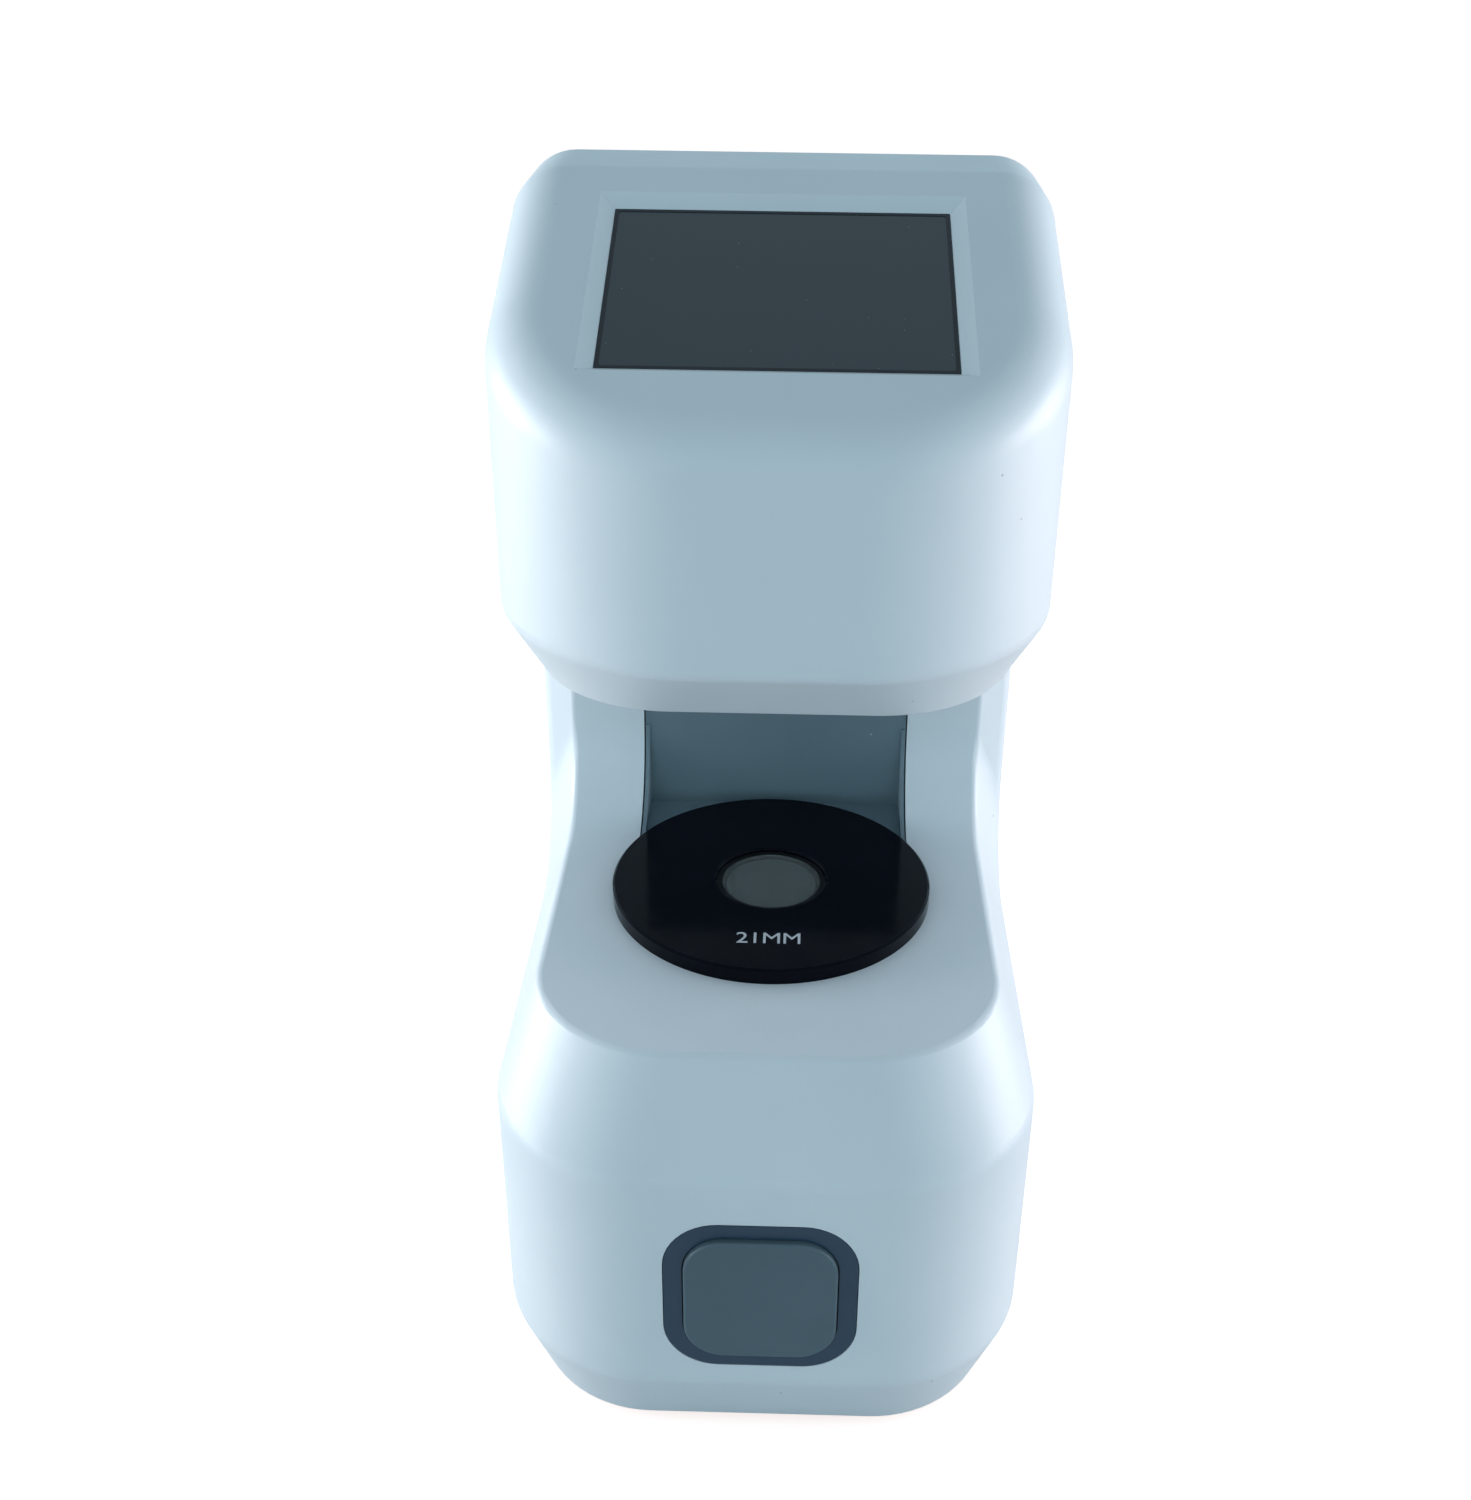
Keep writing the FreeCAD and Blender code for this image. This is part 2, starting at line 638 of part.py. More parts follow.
def roundOutside(shape):
    half = size("body_wide") / 2
    flat = half - size("side_slope_run")
    top = size("body_high")
    shoulder, ridge = size("shoulder_z"), size("head_ridge_z")
    platform, under = size("platform_z"), size("under_z")
    columnStart = size("column_y") - size("throat_round")
    bevelTop = size("foot_proud") + size("bottom_bevel_high")

    def isBrow(box):
        return across(box) and not atRear(box) and level(box, top)

    def isRidge(box):
        inThroat = box.ZMin > shoulder - hair and box.ZMax < ridge + hair and box.YMin > columnStart
        return not atRear(box) and (
            level(box, shoulder) or level(box, ridge) or onSide(box, half) and inThroat
        )

    def isInner(box):
        rim = (level(box, platform) or level(box, under)) and not (
            across(box) and box.YMin > columnStart - hair
        )
        inThroat = box.ZMin > platform - hair and box.ZMax < under + hair
        return not atRear(box) and (rim or onSide(box, flat) and inThroat)

    shape = soften(shape, size("brow_round"), isBrow)
    shape = soften(shape, size("ridge_round"), isRidge)
    shape = soften(shape, size("platform_round"), isInner)
    shape = soften(shape, size("bottom_ridge_round"), lambda box: level(box, bevelTop) and not atRear(box))
    bottom = size("foot_proud")
    shape = soften(shape, size("bottom_edge_round"), lambda box: level(box, bottom) and not atRear(box))
    return soften(
        shape, size("rear_round"), lambda box: atRear(box) and across(box) and box.ZMax > bevelTop + hair
    )


outerForm = doc.addObject("Part::Feature", "OuterForm")
outerForm.Shape = roundOutside(roundTop(casingSolid(0), 0))
innerForm = doc.addObject("Part::Feature", "InnerForm")
innerForm.Shape = roundTop(casingSolid(size("wall")), size("wall"))
shell = cut(outerForm, [innerForm])

coverScrewZ = ["cover_screw_low_z + %d * cover_screw_step" % step for step in range(3)]
coverScrews = [(side + "cover_screw_x", z) for side in ("", "-") for z in coverScrewZ]
baseScrews = [
    (side + "base_screw_x", y)
    for side in ("", "-")
    for y in ("front_y + base_screw_front", "axis_y + base_screw_rear")
]
feet = [(side + "foot_x", y) for side in ("", "-") for y in ("front_y + foot_front", "rear_y - foot_rear")]


def roundAxis(circle, angles):
    """Places on a circle about the optical axis."""
    return [
        ("%s * cos(%d)" % (circle, angle), "axis_y + %s * sin(%d)" % (circle, angle))
        for angle in angles
    ]


opticsPlaces = roundAxis("boss_circle", (45, 135, 225, 315))
magnetPlaces = roundAxis("magnet_circle", (90, 210, 330))


# The display's pieces lie on the sloping face: up runs along the face and depth goes into it.
def onFace(up="0", depth="0"):
    return {
        "y": "screen_y + (%s) * cos(screen_tilt) + (%s) * sin(screen_tilt)" % (up, depth),
        "z": "screen_z + (%s) * sin(screen_tilt) - (%s) * cos(screen_tilt)" % (up, depth),
    }


facing = Rotation(Vector(1, 0, 0), size("screen_tilt"))


def faceBox(wide, high, thick, depth):
    """A flat box under the display face, its outer side at the given depth."""
    return primitive(
        "Box",
        {"Length": wide, "Width": high, "Height": thick},
        x="-(%s) / 2" % wide,
        turn=facing,
        **onFace("-(%s) / 2" % high, "(%s) + (%s)" % (depth, thick)),
    )


displayPosts = [(sx + "display_post_x", sy + "display_post_up") for sx in ("", "-") for sy in ("", "-")]

inBody = slab("2 * body_wide", "-body_deep", "parting_y", "0", "2 * body_high")
inCover = slab("2 * body_wide", "parting_y", "body_deep", "0", "2 * body_high")

basePosts = [
    rod("post_radius", "roof_z + wall / 2 - plate_top_z", x, y, "plate_top_z")
    for x, y in baseScrews
]
coverPosts = [
    rod("post_radius", "post_long", x, "parting_y - post_long", z, alongY)
    for x, z in coverScrews
]
tubeBosses = [
    rod(
        "boss_radius", "platform_z - wall / 2 - ring_bottom_z", x, y, "ring_bottom_z"
    )
    for x, y in opticsPlaces
]
emitterBosses = [
    rod(
        "boss_radius", "emitter_boss_high + wall / 2", x, y, "head_floor_z - wall / 2"
    )
    for x, y in opticsPlaces
]
displayBosses = [
    rod(
        "display_post_radius", "frame_depth - wall + slide_gap", x, turn=facing, **onFace(up, "frame_depth")
    )
    for x, up in displayPosts
]
buttonPosts = [
    rod("boss_radius", "button_board_y - front_y - wall / 2", x, "front_y + wall / 2", "button_z", alongY)
    for x in ("board_post_x", "-board_post_x")
]
slotBox = slab(
    "panel_wide + 2 * wall",
    "column_y - throat_round",
    "column_y + wall",
    "roof_z",
    "platform_z + panel_high / 2",
)
trimmed = common(fuse(basePosts + coverPosts + [slotBox]), outerForm)
housingSolid = fuse(
    [common(shell, inBody), trimmed] + tubeBosses + emitterBosses + displayBosses + buttonPosts
)

panelSlot = slab(
    "panel_wide",
    "column_y - throat_round",
    "column_y + 2 * wall",
    "platform_z - panel_foot - 2 * slide_gap",
    "platform_z + panel_high",
)


def tableRoom(z):
    """Room for the lens table's disc to lie on the platform and to lift off it."""
    return rod("disc_radius + fit_gap", "panel_high", "0", "axis_y", z)


bezelHole = plateBody(
    "BezelHole",
    "bezel_wide + 2 * bezel_gap",
    "bezel_high + 2 * bezel_gap",
    "bezel_corner + bezel_gap",
    "3 * wall",
)
place(bezelHole, "0", "front_y + 2 * wall", "button_z", facingFront)
displayOpening = primitive(
    "Wedge",
    {
        "Xmin": "-screen_wide / 2",
        "Xmax": "screen_wide / 2",
        "Zmin": "-screen_high / 2",
        "Zmax": "screen_high / 2",
        "Ymin": "0",
        "Ymax": "2 * screen_sunk",
        "X2min": "-screen_wide / 2 - 2 * screen_frame",
        "X2max": "screen_wide / 2 + 2 * screen_frame",
        "Z2min": "-screen_high / 2 - 2 * screen_frame",
        "Z2max": "screen_high / 2 + 2 * screen_frame",
    },
    turn=Rotation(Vector(1, 0, 0), size("screen_tilt") + 90),
    **onFace(depth="screen_sunk"),
)
glassRebate = faceBox("glass_wide + 2 * fit_gap", "glass_high + 2 * fit_gap", "2 * wall", "screen_sunk")
screwHole = "screw_radius + slide_gap / 2"
smallScrewHole = "optics_screw_radius + slide_gap / 2"
housingCuts = [panelSlot, tableRoom("platform_z"), bezelHole, displayOpening, glassRebate]
housingCuts += [
    rod("aperture_radius", "2 * wall", "0", "axis_y", "platform_z - 1.5 * wall"),
    rod("emitter_window_radius - emitter_window_lap", "2 * wall", "0", "axis_y", "under_z - wall / 2"),
    rod("emitter_window_radius + slide_gap", "2 * window_thick", "0", "axis_y", "under_z - window_thick"),
]
housingCuts += [
    rod(
        "magnet_radius + slide_gap", "2 * wall", x, y, "roof_z + magnet_thick - 2 * wall"
    )
    for x, y in magnetPlaces
]
housingCuts += [rod(screwHole, "2 * screw_long", x, y, "0") for x, y in baseScrews]
housingCuts += [
    rod(screwHole, "2 * screw_long", x, "rear_y - screw_head_deep - screw_long - slide_gap", z, alongY)
    for x, z in coverScrews
]
housingCuts += [
    rod(smallScrewHole, "optics_screw_long - flange_thick + slide_gap", x, y, "ring_bottom_z")
    for x, y in opticsPlaces
]
housingCuts += [
    rod(
        smallScrewHole,
        "optics_screw_long",
        x,
        y,
        "emitter_flange_z + flange_thick - optics_screw_long - slide_gap",
    )
    for x, y in opticsPlaces
]
housingCuts += [
    rod(
        smallScrewHole,
        "optics_screw_long - frame_thick + slide_gap",
        x,
        turn=facing,
        **onFace(up, "frame_depth"),
    )
    for x, up in displayPosts
]
part(cut(housingSolid, housingCuts), "main_housing")

# rear cover: a shallow tray with screw bosses, a recess for the switch and a hole for the inlet
coverBosses = [
    rod("post_radius", "cover_deep - wall / 2", x, "parting_y", z, alongY)
    for x, z in coverScrews
]
coverSolid = fuse([common(shell, inCover), common(fuse(coverBosses), outerForm)])
coverCuts = [
    rod("screw_radius + 2 * slide_gap", "2 * cover_deep", x, "parting_y - wall", z, alongY)
    for x, z in coverScrews
]
coverCuts += [
    rod("screw_head_radius + slide_gap", "wall", x, "rear_y - screw_head_deep", z, alongY)
    for x, z in coverScrews
]


def switchBox(long, wide, y, y_end):
    """A box about the rear switch's middle, from y to y_end."""
    return slab(
        long, y, y_end, "rear_parts_z - (%s) / 2" % wide, "rear_parts_z + (%s) / 2" % wide, "rear_parts_x"
    )


coverCuts.append(
    switchBox(
        "switch_lip_long + 2 * fit_gap",
        "switch_lip_wide + 2 * fit_gap",
        "rear_y - bezel_recess",
        "rear_y + wall",
    )
)
coverCuts.append(
    switchBox(
        "switch_body_long + 2 * slide_gap",
        "switch_body_wide + 2 * slide_gap",
        "rear_y - 2 * wall",
        "rear_y",
    )
)


def inletPlate(name, bigger, thick, y):
    """A plate of the power inlet's outline, larger all round, whose rear face is at y."""
    plate = plateBody(
        name,
        "inlet_wide + 2 * (%s)" % bigger,
        "inlet_high + 2 * (%s)" % bigger,
        "inlet_corner + %s" % bigger,
        thick,
    )
    return place(plate, "-rear_parts_x", y, "rear_parts_z", facingFront)


coverCuts.append(inletPlate("InletHole", "slide_gap", "4 * wall", "rear_y + wall"))
part(cut(coverSolid, coverCuts), "rear_cover")

# base plate, its screws and the feet
plateCorner = worth("base_corner - bottom_bevel_run - wall - fit_gap")
plateSlab = slab("2 * base_half", "base_front_y", "cover_inner_y - fit_gap", "foot_proud", "plate_top_z")
basePlateBlank = doc.addObject("Part::Fillet", "BasePlateBlank")
basePlateBlank.Base = plateSlab
doc.recompute()
frontEdges = [
    i
    for i, edge in enumerate(plateSlab.Shape.Edges, 1)
    if edge.BoundBox.ZLength > 0.1 and edge.BoundBox.YMax < 0
]
basePlateBlank.Edges = [(i, plateCorner, plateCorner) for i in frontEdges]
plateCuts = [rod("screw_radius + 2 * slide_gap", "4 * wall", x, y, "-wall") for x, y in baseScrews]
plateCuts += [
    rod("screw_head_radius + slide_gap", "screw_head_deep", x, y, "foot_proud")
    for x, y in baseScrews
]
plateCuts += [rod("foot_radius + slide_gap", "foot_sunk", x, y, "foot_proud") for x, y in feet]
part(cut(basePlateBlank, plateCuts), "base_plate")


def screw(headRadius, headDeep, radius, long, x, y, z, turn=None):
    """A screw with a hexagon socket, its head's outer face at the given place and its thread beyond."""
    outline = [
        ("0", "0"),
        (headRadius, "0"),
        (headRadius, headDeep),
        (radius, headDeep),
        (radius, "%s + %s" % (headDeep, long)),
        ("0", "%s + %s" % (headDeep, long)),
    ]
    body = place(turnedBody("Screw", outline), x, y, z, turn)
    socket = {"Circumradius": headRadius + " / 2", "Height": headDeep + " / 2"}
    return cut(body, [primitive("Prism", socket, x, y, z, turn)])


casingScrew = ("screw_head_radius", "screw_head_deep", "screw_radius", "screw_long")
smallScrew = ("optics_head_radius", "optics_head_deep", "optics_screw_radius", "optics_screw_long")
part(group([screw(*casingScrew, x, y, "foot_proud") for x, y in baseScrews]), "base_screws")
part(group([screw(*casingScrew, x, "rear_y", z, facingFront) for x, z in coverScrews]), "cover_screws")
footOutline = [
    ("0", "0"),
    ("foot_radius - foot_sunk", "0"),
    ("foot_radius", "foot_sunk"),
    ("foot_radius", "foot_proud + foot_sunk"),
    ("0", "foot_proud + foot_sunk"),
]
part(group([place(turnedBody("Foot", footOutline), x, y) for x, y in feet]), "rubber_feet")

# dark panel that lines the slot at the back of the throat: a sheet, a foot, cheeks that follow the
# curve, and a flange inside the wall
panelBlank = slab(
    "panel_wide - 2 * fit_gap",
    "column_y - throat_round + fit_gap",
    "column_y + wall",
    "platform_z - slide_gap - panel_foot",
    "platform_z + panel_high - fit_gap",
)
panelRoom = slab(
    "panel_wide - 2 * fit_gap - 2 * panel_cheek",
    "column_y - throat_round",
    "column_y + panel_sunk",
    "platform_z - slide_gap",
    "platform_z + 2 * panel_high",
)
cheekEnd = slab(
    "panel_wide",
    "column_y - throat_round",
    "column_y + panel_sunk",
    "platform_z + throat_round",
    "platform_z + 2 * panel_high",
)
panelSheet = cut(common(panelBlank, outerForm), [panelRoom, cheekEnd, tableRoom("platform_z - slide_gap")])
panelFlange = slab(
    "panel_wide + 2 * panel_lip",
    "column_y + wall",
    "column_y + wall + panel_flange",
    "platform_z - panel_lip",
    "platform_z + panel_high + panel_lip",
)
part(fuse([panelSheet, panelFlange]), "throat_panel")

# lens table

discOutline = [
    ("aperture_radius", "0"),
    ("disc_radius", "0"),
    ("disc_radius", "disc_thick - disc_edge"),
    ("disc_radius - disc_edge", "disc_thick"),
    ("aperture_radius + disc_edge", "disc_thick"),
    ("aperture_radius", "disc_thick - disc_edge"),
]
disc = place(turnedBody("Disc", discOutline), "0", "axis_y", "platform_z")
discPockets = [
    rod("magnet_radius + slide_gap", "magnet_thick", x, y, "platform_z")
    for x, y in magnetPlaces
]
part(cut(disc, discPockets), "lens_table_disc")
part(
    group([rod("magnet_radius", "magnet_thick", x, y, "platform_z") for x, y in magnetPlaces]),
    "disc_magnets",
)
part(group([rod("magnet_radius", "magnet_thick", x, y, "roof_z") for x, y in magnetPlaces]), "seat_magnets")

windowSeat = "disc_thick - ring_sunk - window_thick - slide_gap"
ringTop = "(platform_z + disc_thick - ring_sunk - ring_bottom_z)"
ringLedge = "(platform_z + %s - ring_bottom_z)" % windowSeat
ringOutline = [
    ("bore_radius - ring_ledge", "0"),
    ("aperture_radius + ring_flange", "0"),
    ("aperture_radius + ring_flange", "ring_flange_thick"),
    ("ring_radius", "ring_flange_thick"),
    ("ring_radius", ringTop),
    ("bore_radius", ringTop),
    ("bore_radius", ringLedge),
    ("bore_radius - ring_ledge", ringLedge),
]
part(place(turnedBody("Ring", ringOutline), "0", "axis_y", "ring_bottom_z"), "window_ring")
part(
    rod("bore_radius - slide_gap / 2", "window_thick", "0", "axis_y", "platform_z + " + windowSeat),
    "table_window",
)

# measuring optics in the base: tube, pinhole plate, lens and image sensor

tubeBore = "(tube_radius - tube_wall)"
tubeOutline = [
    (tubeBore, "0"),
    ("tube_radius", "0"),
    ("tube_radius", "tube_long - flange_thick"),
    ("flange_radius", "tube_long - flange_thick"),
    ("flange_radius", "tube_long"),
    (tubeBore, "tube_long"),
]
tube = place(turnedBody("Tube", tubeOutline), "0", "axis_y", "ring_bottom_z - tube_long")
tubeHoles = [
    rod("optics_screw_radius + slide_gap", "2 * flange_thick", x, y, "ring_bottom_z - 1.5 * flange_thick")
    for x, y in opticsPlaces
]
part(cut(tube, tubeHoles), "sensor_tube")
pinholeZ = "(ring_bottom_z - pinhole_drop)"
pinholeBlank = rod(tubeBore + " - slide_gap / 2", "pinhole_thick", "0", "axis_y", pinholeZ)
pinholes = [
    rod(
        "pinhole_radius",
        "2 * wall",
        "%d * pinhole_pitch" % i,
        "axis_y + %d * pinhole_pitch" % j,
        pinholeZ + " - wall",
    )
    for i in (-2, -1, 0, 1, 2)
    for j in (-2, -1, 0, 1, 2)
    if i * i + j * j < 6
]
part(cut(pinholeBlank, pinholes), "pinhole_plate")


def lens(radius, curve, z):
    """Plano-convex lens: a cylinder under the cap of a ball, flat side down."""
    middle = "%s + lens_edge - sqrt((%s) ^ 2 - (%s) ^ 2)" % (z, curve, radius)
    sphere = primitive("Sphere", {"Radius": curve}, "0", "axis_y", middle)
    return common(rod(radius, "2 * (%s)" % curve, "0", "axis_y", z), sphere)


cellZ = "(ring_bottom_z - tube_long + circuit_thick)"
cellOutline = [
    ("lens_radius - lens_edge / 2", "0"),
    (tubeBore + " - slide_gap / 2", "0"),
    (tubeBore + " - slide_gap / 2", "cell_high"),
    ("lens_radius + slide_gap / 2", "cell_high"),
    ("lens_radius + slide_gap / 2", "lens_edge"),
    ("lens_radius - lens_edge / 2", "lens_edge"),
]
part(place(turnedBody("Cell", cellOutline), "0", "axis_y", cellZ), "lens_cell")
part(lens("lens_radius", "lens_curve", cellZ + " + lens_edge"), "sensor_lens")
sensorBoardZ = "(ring_bottom_z - tube_long - circuit_thick)"
part(
    block("sensor_board_wide", "sensor_board_wide", "circuit_thick", "0", "axis_y", sensorBoardZ),
    "sensor_board",
)
part(
    block("sensor_wide", "sensor_wide", "sensor_thick", "0", "axis_y", sensorBoardZ + " + circuit_thick"),
    "image_sensor",
)

# light source in the head

part(
    rod("emitter_window_radius", "window_thick - slide_gap", "0", "axis_y", "under_z + slide_gap"),
    "head_window",
)
emitterBore = "(emitter_radius - tube_wall)"
emitterOutline = [
    (emitterBore, "0"),
    ("emitter_radius", "0"),
    ("emitter_radius", "emitter_boss_high"),
    ("flange_radius", "emitter_boss_high"),
    ("flange_radius", "emitter_boss_high + flange_thick"),
    ("emitter_radius", "emitter_boss_high + flange_thick"),
    ("emitter_radius", "emitter_long"),
    (emitterBore, "emitter_long"),
    (emitterBore, "collimator_rise"),
    (emitterBore + " - lens_edge", "collimator_rise"),
    (emitterBore + " - lens_edge", "collimator_rise - lens_edge"),
    (emitterBore, "collimator_rise - lens_edge"),
]
emitter = place(turnedBody("Emitter", emitterOutline), "0", "axis_y", "head_floor_z")
emitterHoles = [
    rod("optics_screw_radius + slide_gap", "3 * flange_thick", x, y, "emitter_flange_z - flange_thick")
    for x, y in opticsPlaces
]
part(cut(emitter, emitterHoles), "emitter_tube")
collimatorRadius = emitterBore + " - slide_gap / 2"
collimatorZ = "head_floor_z + collimator_rise"
part(lens(collimatorRadius, "collimator_curve", collimatorZ), "collimator_lens")
capHigh = "(collimator_curve - sqrt(collimator_curve ^ 2 - (%s) ^ 2))" % collimatorRadius
retainerOutline = [
    (collimatorRadius + " - retainer_wall", "0"),
    (collimatorRadius, "0"),
    (collimatorRadius, "retainer_high"),
    (collimatorRadius + " - retainer_wall", "retainer_high"),
]
retainer = place(turnedBody("Retainer", retainerOutline), "0", "axis_y", collimatorZ + " + lens_edge")
retainerSeat = primitive(
    "Sphere",
    {"Radius": "collimator_curve"},
    "0",
    "axis_y",
    collimatorZ + " + lens_edge + %s - collimator_curve" % capHigh,
)
part(cut(retainer, [retainerSeat]), "lens_retainer")
emitterBoard = block(
    "emitter_board_wide", "emitter_board_wide", "circuit_thick", "0", "axis_y", "emitter_board_z"
)
part(emitterBoard, "emitter_board")
part(rod("led_radius", "led_high", "0", "axis_y", "emitter_board_z - led_high"), "light_diode")
sinkZ = "(emitter_board_z + circuit_thick)"
sinkPieces = [block("emitter_board_wide", "emitter_board_wide", "sink_base", "0", "axis_y", sinkZ)]
sinkPieces += [
    block(
        "fin_thick",
        "emitter_board_wide",
        "sink_high",
        "%d / 6 * (emitter_board_wide - fin_thick)" % i,
        "axis_y",
        sinkZ,
    )
    for i in (-3, -2, -1, 0, 1, 2, 3)
]
part(fuse(sinkPieces), "heat_sink")


tubeScrewZ = "ring_bottom_z - flange_thick - optics_head_deep"
emitterScrewZ = "emitter_flange_z + flange_thick + optics_head_deep"
opticsScrews = [screw(*smallScrew, x, y, tubeScrewZ) for x, y in opticsPlaces]
opticsScrews += [screw(*smallScrew, x, y, emitterScrewZ, downward) for x, y in opticsPlaces]
part(group(opticsScrews), "optics_screws")

# display

part(faceBox("glass_wide", "glass_high", "glass_thick", "screen_sunk"), "screen_glass")
part(
    faceBox("glass_wide - 2 * lcd_inset", "glass_high - 2 * lcd_inset", "lcd_thick", "lcd_depth"),
    "display_panel",
)
frameBlank = faceBox("frame_wide", "frame_high", "frame_thick", "frame_depth")
frameOpening = faceBox(
    "frame_wide - 2 * frame_opening - 2 * frame_margin",
    "frame_high - 2 * frame_opening - 2 * frame_margin",
    "4 * frame_thick",
    "frame_depth - frame_thick",
)
frameHoles = [
    rod(
        "optics_screw_radius + slide_gap",
        "4 * frame_thick",
        x,
        turn=facing,
        **onFace(up, "frame_depth + 2 * frame_thick"),
    )
    for x, up in displayPosts
]
part(cut(frameBlank, [frameOpening] + frameHoles), "display_frame")
part(faceBox("glass_wide", "glass_high", "circuit_thick", "frame_depth + frame_thick"), "display_board")
screwDepth = "frame_depth + frame_thick + optics_head_deep"
displayScrews = [screw(*smallScrew, x, turn=facing, **onFace(up, screwDepth)) for x, up in displayPosts]
part(group(displayScrews), "display_screws")

# measuring button

bezelBlank = place(
    plateBody("Bezel", "bezel_wide", "bezel_high", "bezel_corner", "bezel_thick"),
    "0",
    "bezel_back_y",
    "button_z",
    facingFront,
)
buttonHole = plateBody(
    "ButtonHole",
    "button_wide + 2 * button_gap",
    "button_wide + 2 * button_gap",
    "button_corner + button_gap",
    "3 * bezel_thick",
)
place(buttonHole, "0", "bezel_back_y + bezel_thick", "button_z", facingFront)
part(cut(bezelBlank, [buttonHole]), "button_bezel")
cap = plateBody(
    "Cap", "button_wide", "button_wide", "button_corner", "button_proud + bezel_thick + slide_gap"
)
doc.recompute()
pad = cap.Tip
capFaces = pad.Shape.Faces
front = max(range(len(capFaces)), key=lambda i: capFaces[i].CenterOfMass.z) + 1
softEdge = cap.newObject("PartDesign::Fillet", "SoftEdge")
softEdge.Base = (pad, ["Face%d" % front])
softEdge.setExpression("Radius", bound("button_edge"))
cap.Tip = softEdge
place(cap, "0", "bezel_back_y + slide_gap", "button_z", facingFront)
lip = plateBody(
    "Lip",
    "button_wide + 2 * button_lip",
    "button_wide + 2 * button_lip",
    "button_corner + button_lip",
    "button_lip_thick",
)
place(lip, "0", "button_back_y", "button_z", facingFront)
stem = rod(
    "stem_radius",
    "spring_long - switch_high - button_travel - slide_gap",
    "0",
    "button_back_y",
    "button_z",
    alongY,
)
part(fuse([cap, lip, stem]), "measure_button")

coil = doc.addObject("Part::Helix", "Coil")
coil.setExpression("Pitch", bound("spring_pitch"))
coil.setExpression("Height", bound("spring_long - 2 * spring_wire"))
coil.setExpression("Radius", bound("spring_radius"))
coil.SegmentLength = 1  # one face to each turn, so that the sweep closes
wire = doc.addObject("Part::Circle", "Wire")
wire.setExpression("Radius", bound("spring_wire / 2"))
place(wire, "spring_radius", turn=facingFront)
spring = doc.addObject("Part::Sweep", "Spring")
spring.Sections = [wire]
spring.Spine = (coil, [])
spring.Solid = True
spring.Frenet = True
place(spring, "0", "button_back_y + spring_wire", "button_z", alongY)
part(spring, "button_spring")
buttonBoard = slab(
    "2 * board_post_x + 2 * boss_radius",
    "button_board_y",
    "button_board_y + circuit_thick",
    "button_z - button_board_high / 2",
    "button_z + button_board_high / 2",
)
part(buttonBoard, "button_board")
switchBody = slab(
    "switch_wide",
    "button_board_y - switch_high + wall / 2",
    "button_board_y",
    "button_z - switch_wide / 2",
    "button_z + switch_wide / 2",
)
plunger = rod("plunger_radius", "wall", "0", "button_board_y - switch_high", "button_z", alongY)
part(fuse([switchBody, plunger]), "push_switch")

# battery

batteryY = "(base_front_y + axis_y + base_screw_rear) / 2"
trayWide = "(battery_wide + 2 * fit_gap + 2 * tray_wall)"
trayLong = "(battery_long + 2 * fit_gap + 2 * tray_wall)"
trayBlank = block(trayWide, trayLong, "tray_high", "0", batteryY, "plate_top_z")
trayRoom = block(
    "battery_wide + 2 * fit_gap",
    "battery_long + 2 * fit_gap",
    "tray_high",
    "0",
    batteryY,
    "plate_top_z + tray_wall",
)
part(cut(trayBlank, [trayRoom]), "battery_tray")
battery = plateBody("Battery", "battery_wide", "battery_long", "battery_corner", "battery_high")
part(place(battery, "0", batteryY, "plate_top_z + tray_wall"), "battery_pack")

# main board in the column

boardScrews = [
    (side + "(main_board_wide / 2 - standoff_inset)", z)
    for side in ("", "-")
    for z in ("main_board_low_z + standoff_inset", "main_board_low_z + main_board_high - standoff_inset")
]
boardBlank = slab(
    "main_board_wide",
    "main_board_y",
    "main_board_y + circuit_thick",
    "main_board_low_z",
    "main_board_low_z + main_board_high",
)
boardHoles = [
    rod("board_screw_radius + slide_gap", "2 * wall", x, "main_board_y - wall / 2", z, alongY)
    for x, z in boardScrews
]
part(cut(boardBlank, boardHoles), "main_board")
standoffs = []
for x, z in boardScrews:
    pillar = rod("standoff_radius", "standoff_long", x, "main_board_y + circuit_thick", z, alongY)
    hole = rod(
        "board_screw_radius + slide_gap / 2",
        "standoff_long / 2 + wall",
        x,
        "main_board_y + circuit_thick",
        z,
        alongY,
    )
    standoffs.append(cut(pillar, [hole]))
part(group(standoffs), "board_standoffs")
boardScrew = (
    "board_head_radius", "optics_head_deep", "board_screw_radius", "circuit_thick + standoff_long / 2"
)
boardFasteners = [
    screw(*boardScrew, x, "main_board_y - optics_head_deep", z, alongY)
    for x, z in boardScrews
]
part(group(boardFasteners), "board_screws")
chipZ = "(main_board_low_z + main_board_high / 3)"
chip = slab("chip_wide", "main_board_y - chip_thick", "main_board_y", chipZ, chipZ + " + chip_wide")
part(chip, "processor_chip")
part(
    rod("buzzer_radius", "buzzer_high", "chip_wide", "main_board_y + circuit_thick", chipZ, alongY),
    "buzzer",
)
ribbonY = "main_board_y - ribbon_thick"
sensorRibbon = [
    slab(
        "sensor_wide",
        "axis_y + sensor_board_wide / 2",
        "main_board_y",
        sensorBoardZ,
        sensorBoardZ + " + ribbon_thick",
    ),
    slab("sensor_wide", ribbonY, "main_board_y", sensorBoardZ, "main_board_low_z + standoff_inset"),
]
part(fuse(sensorRibbon), "sensor_ribbon")
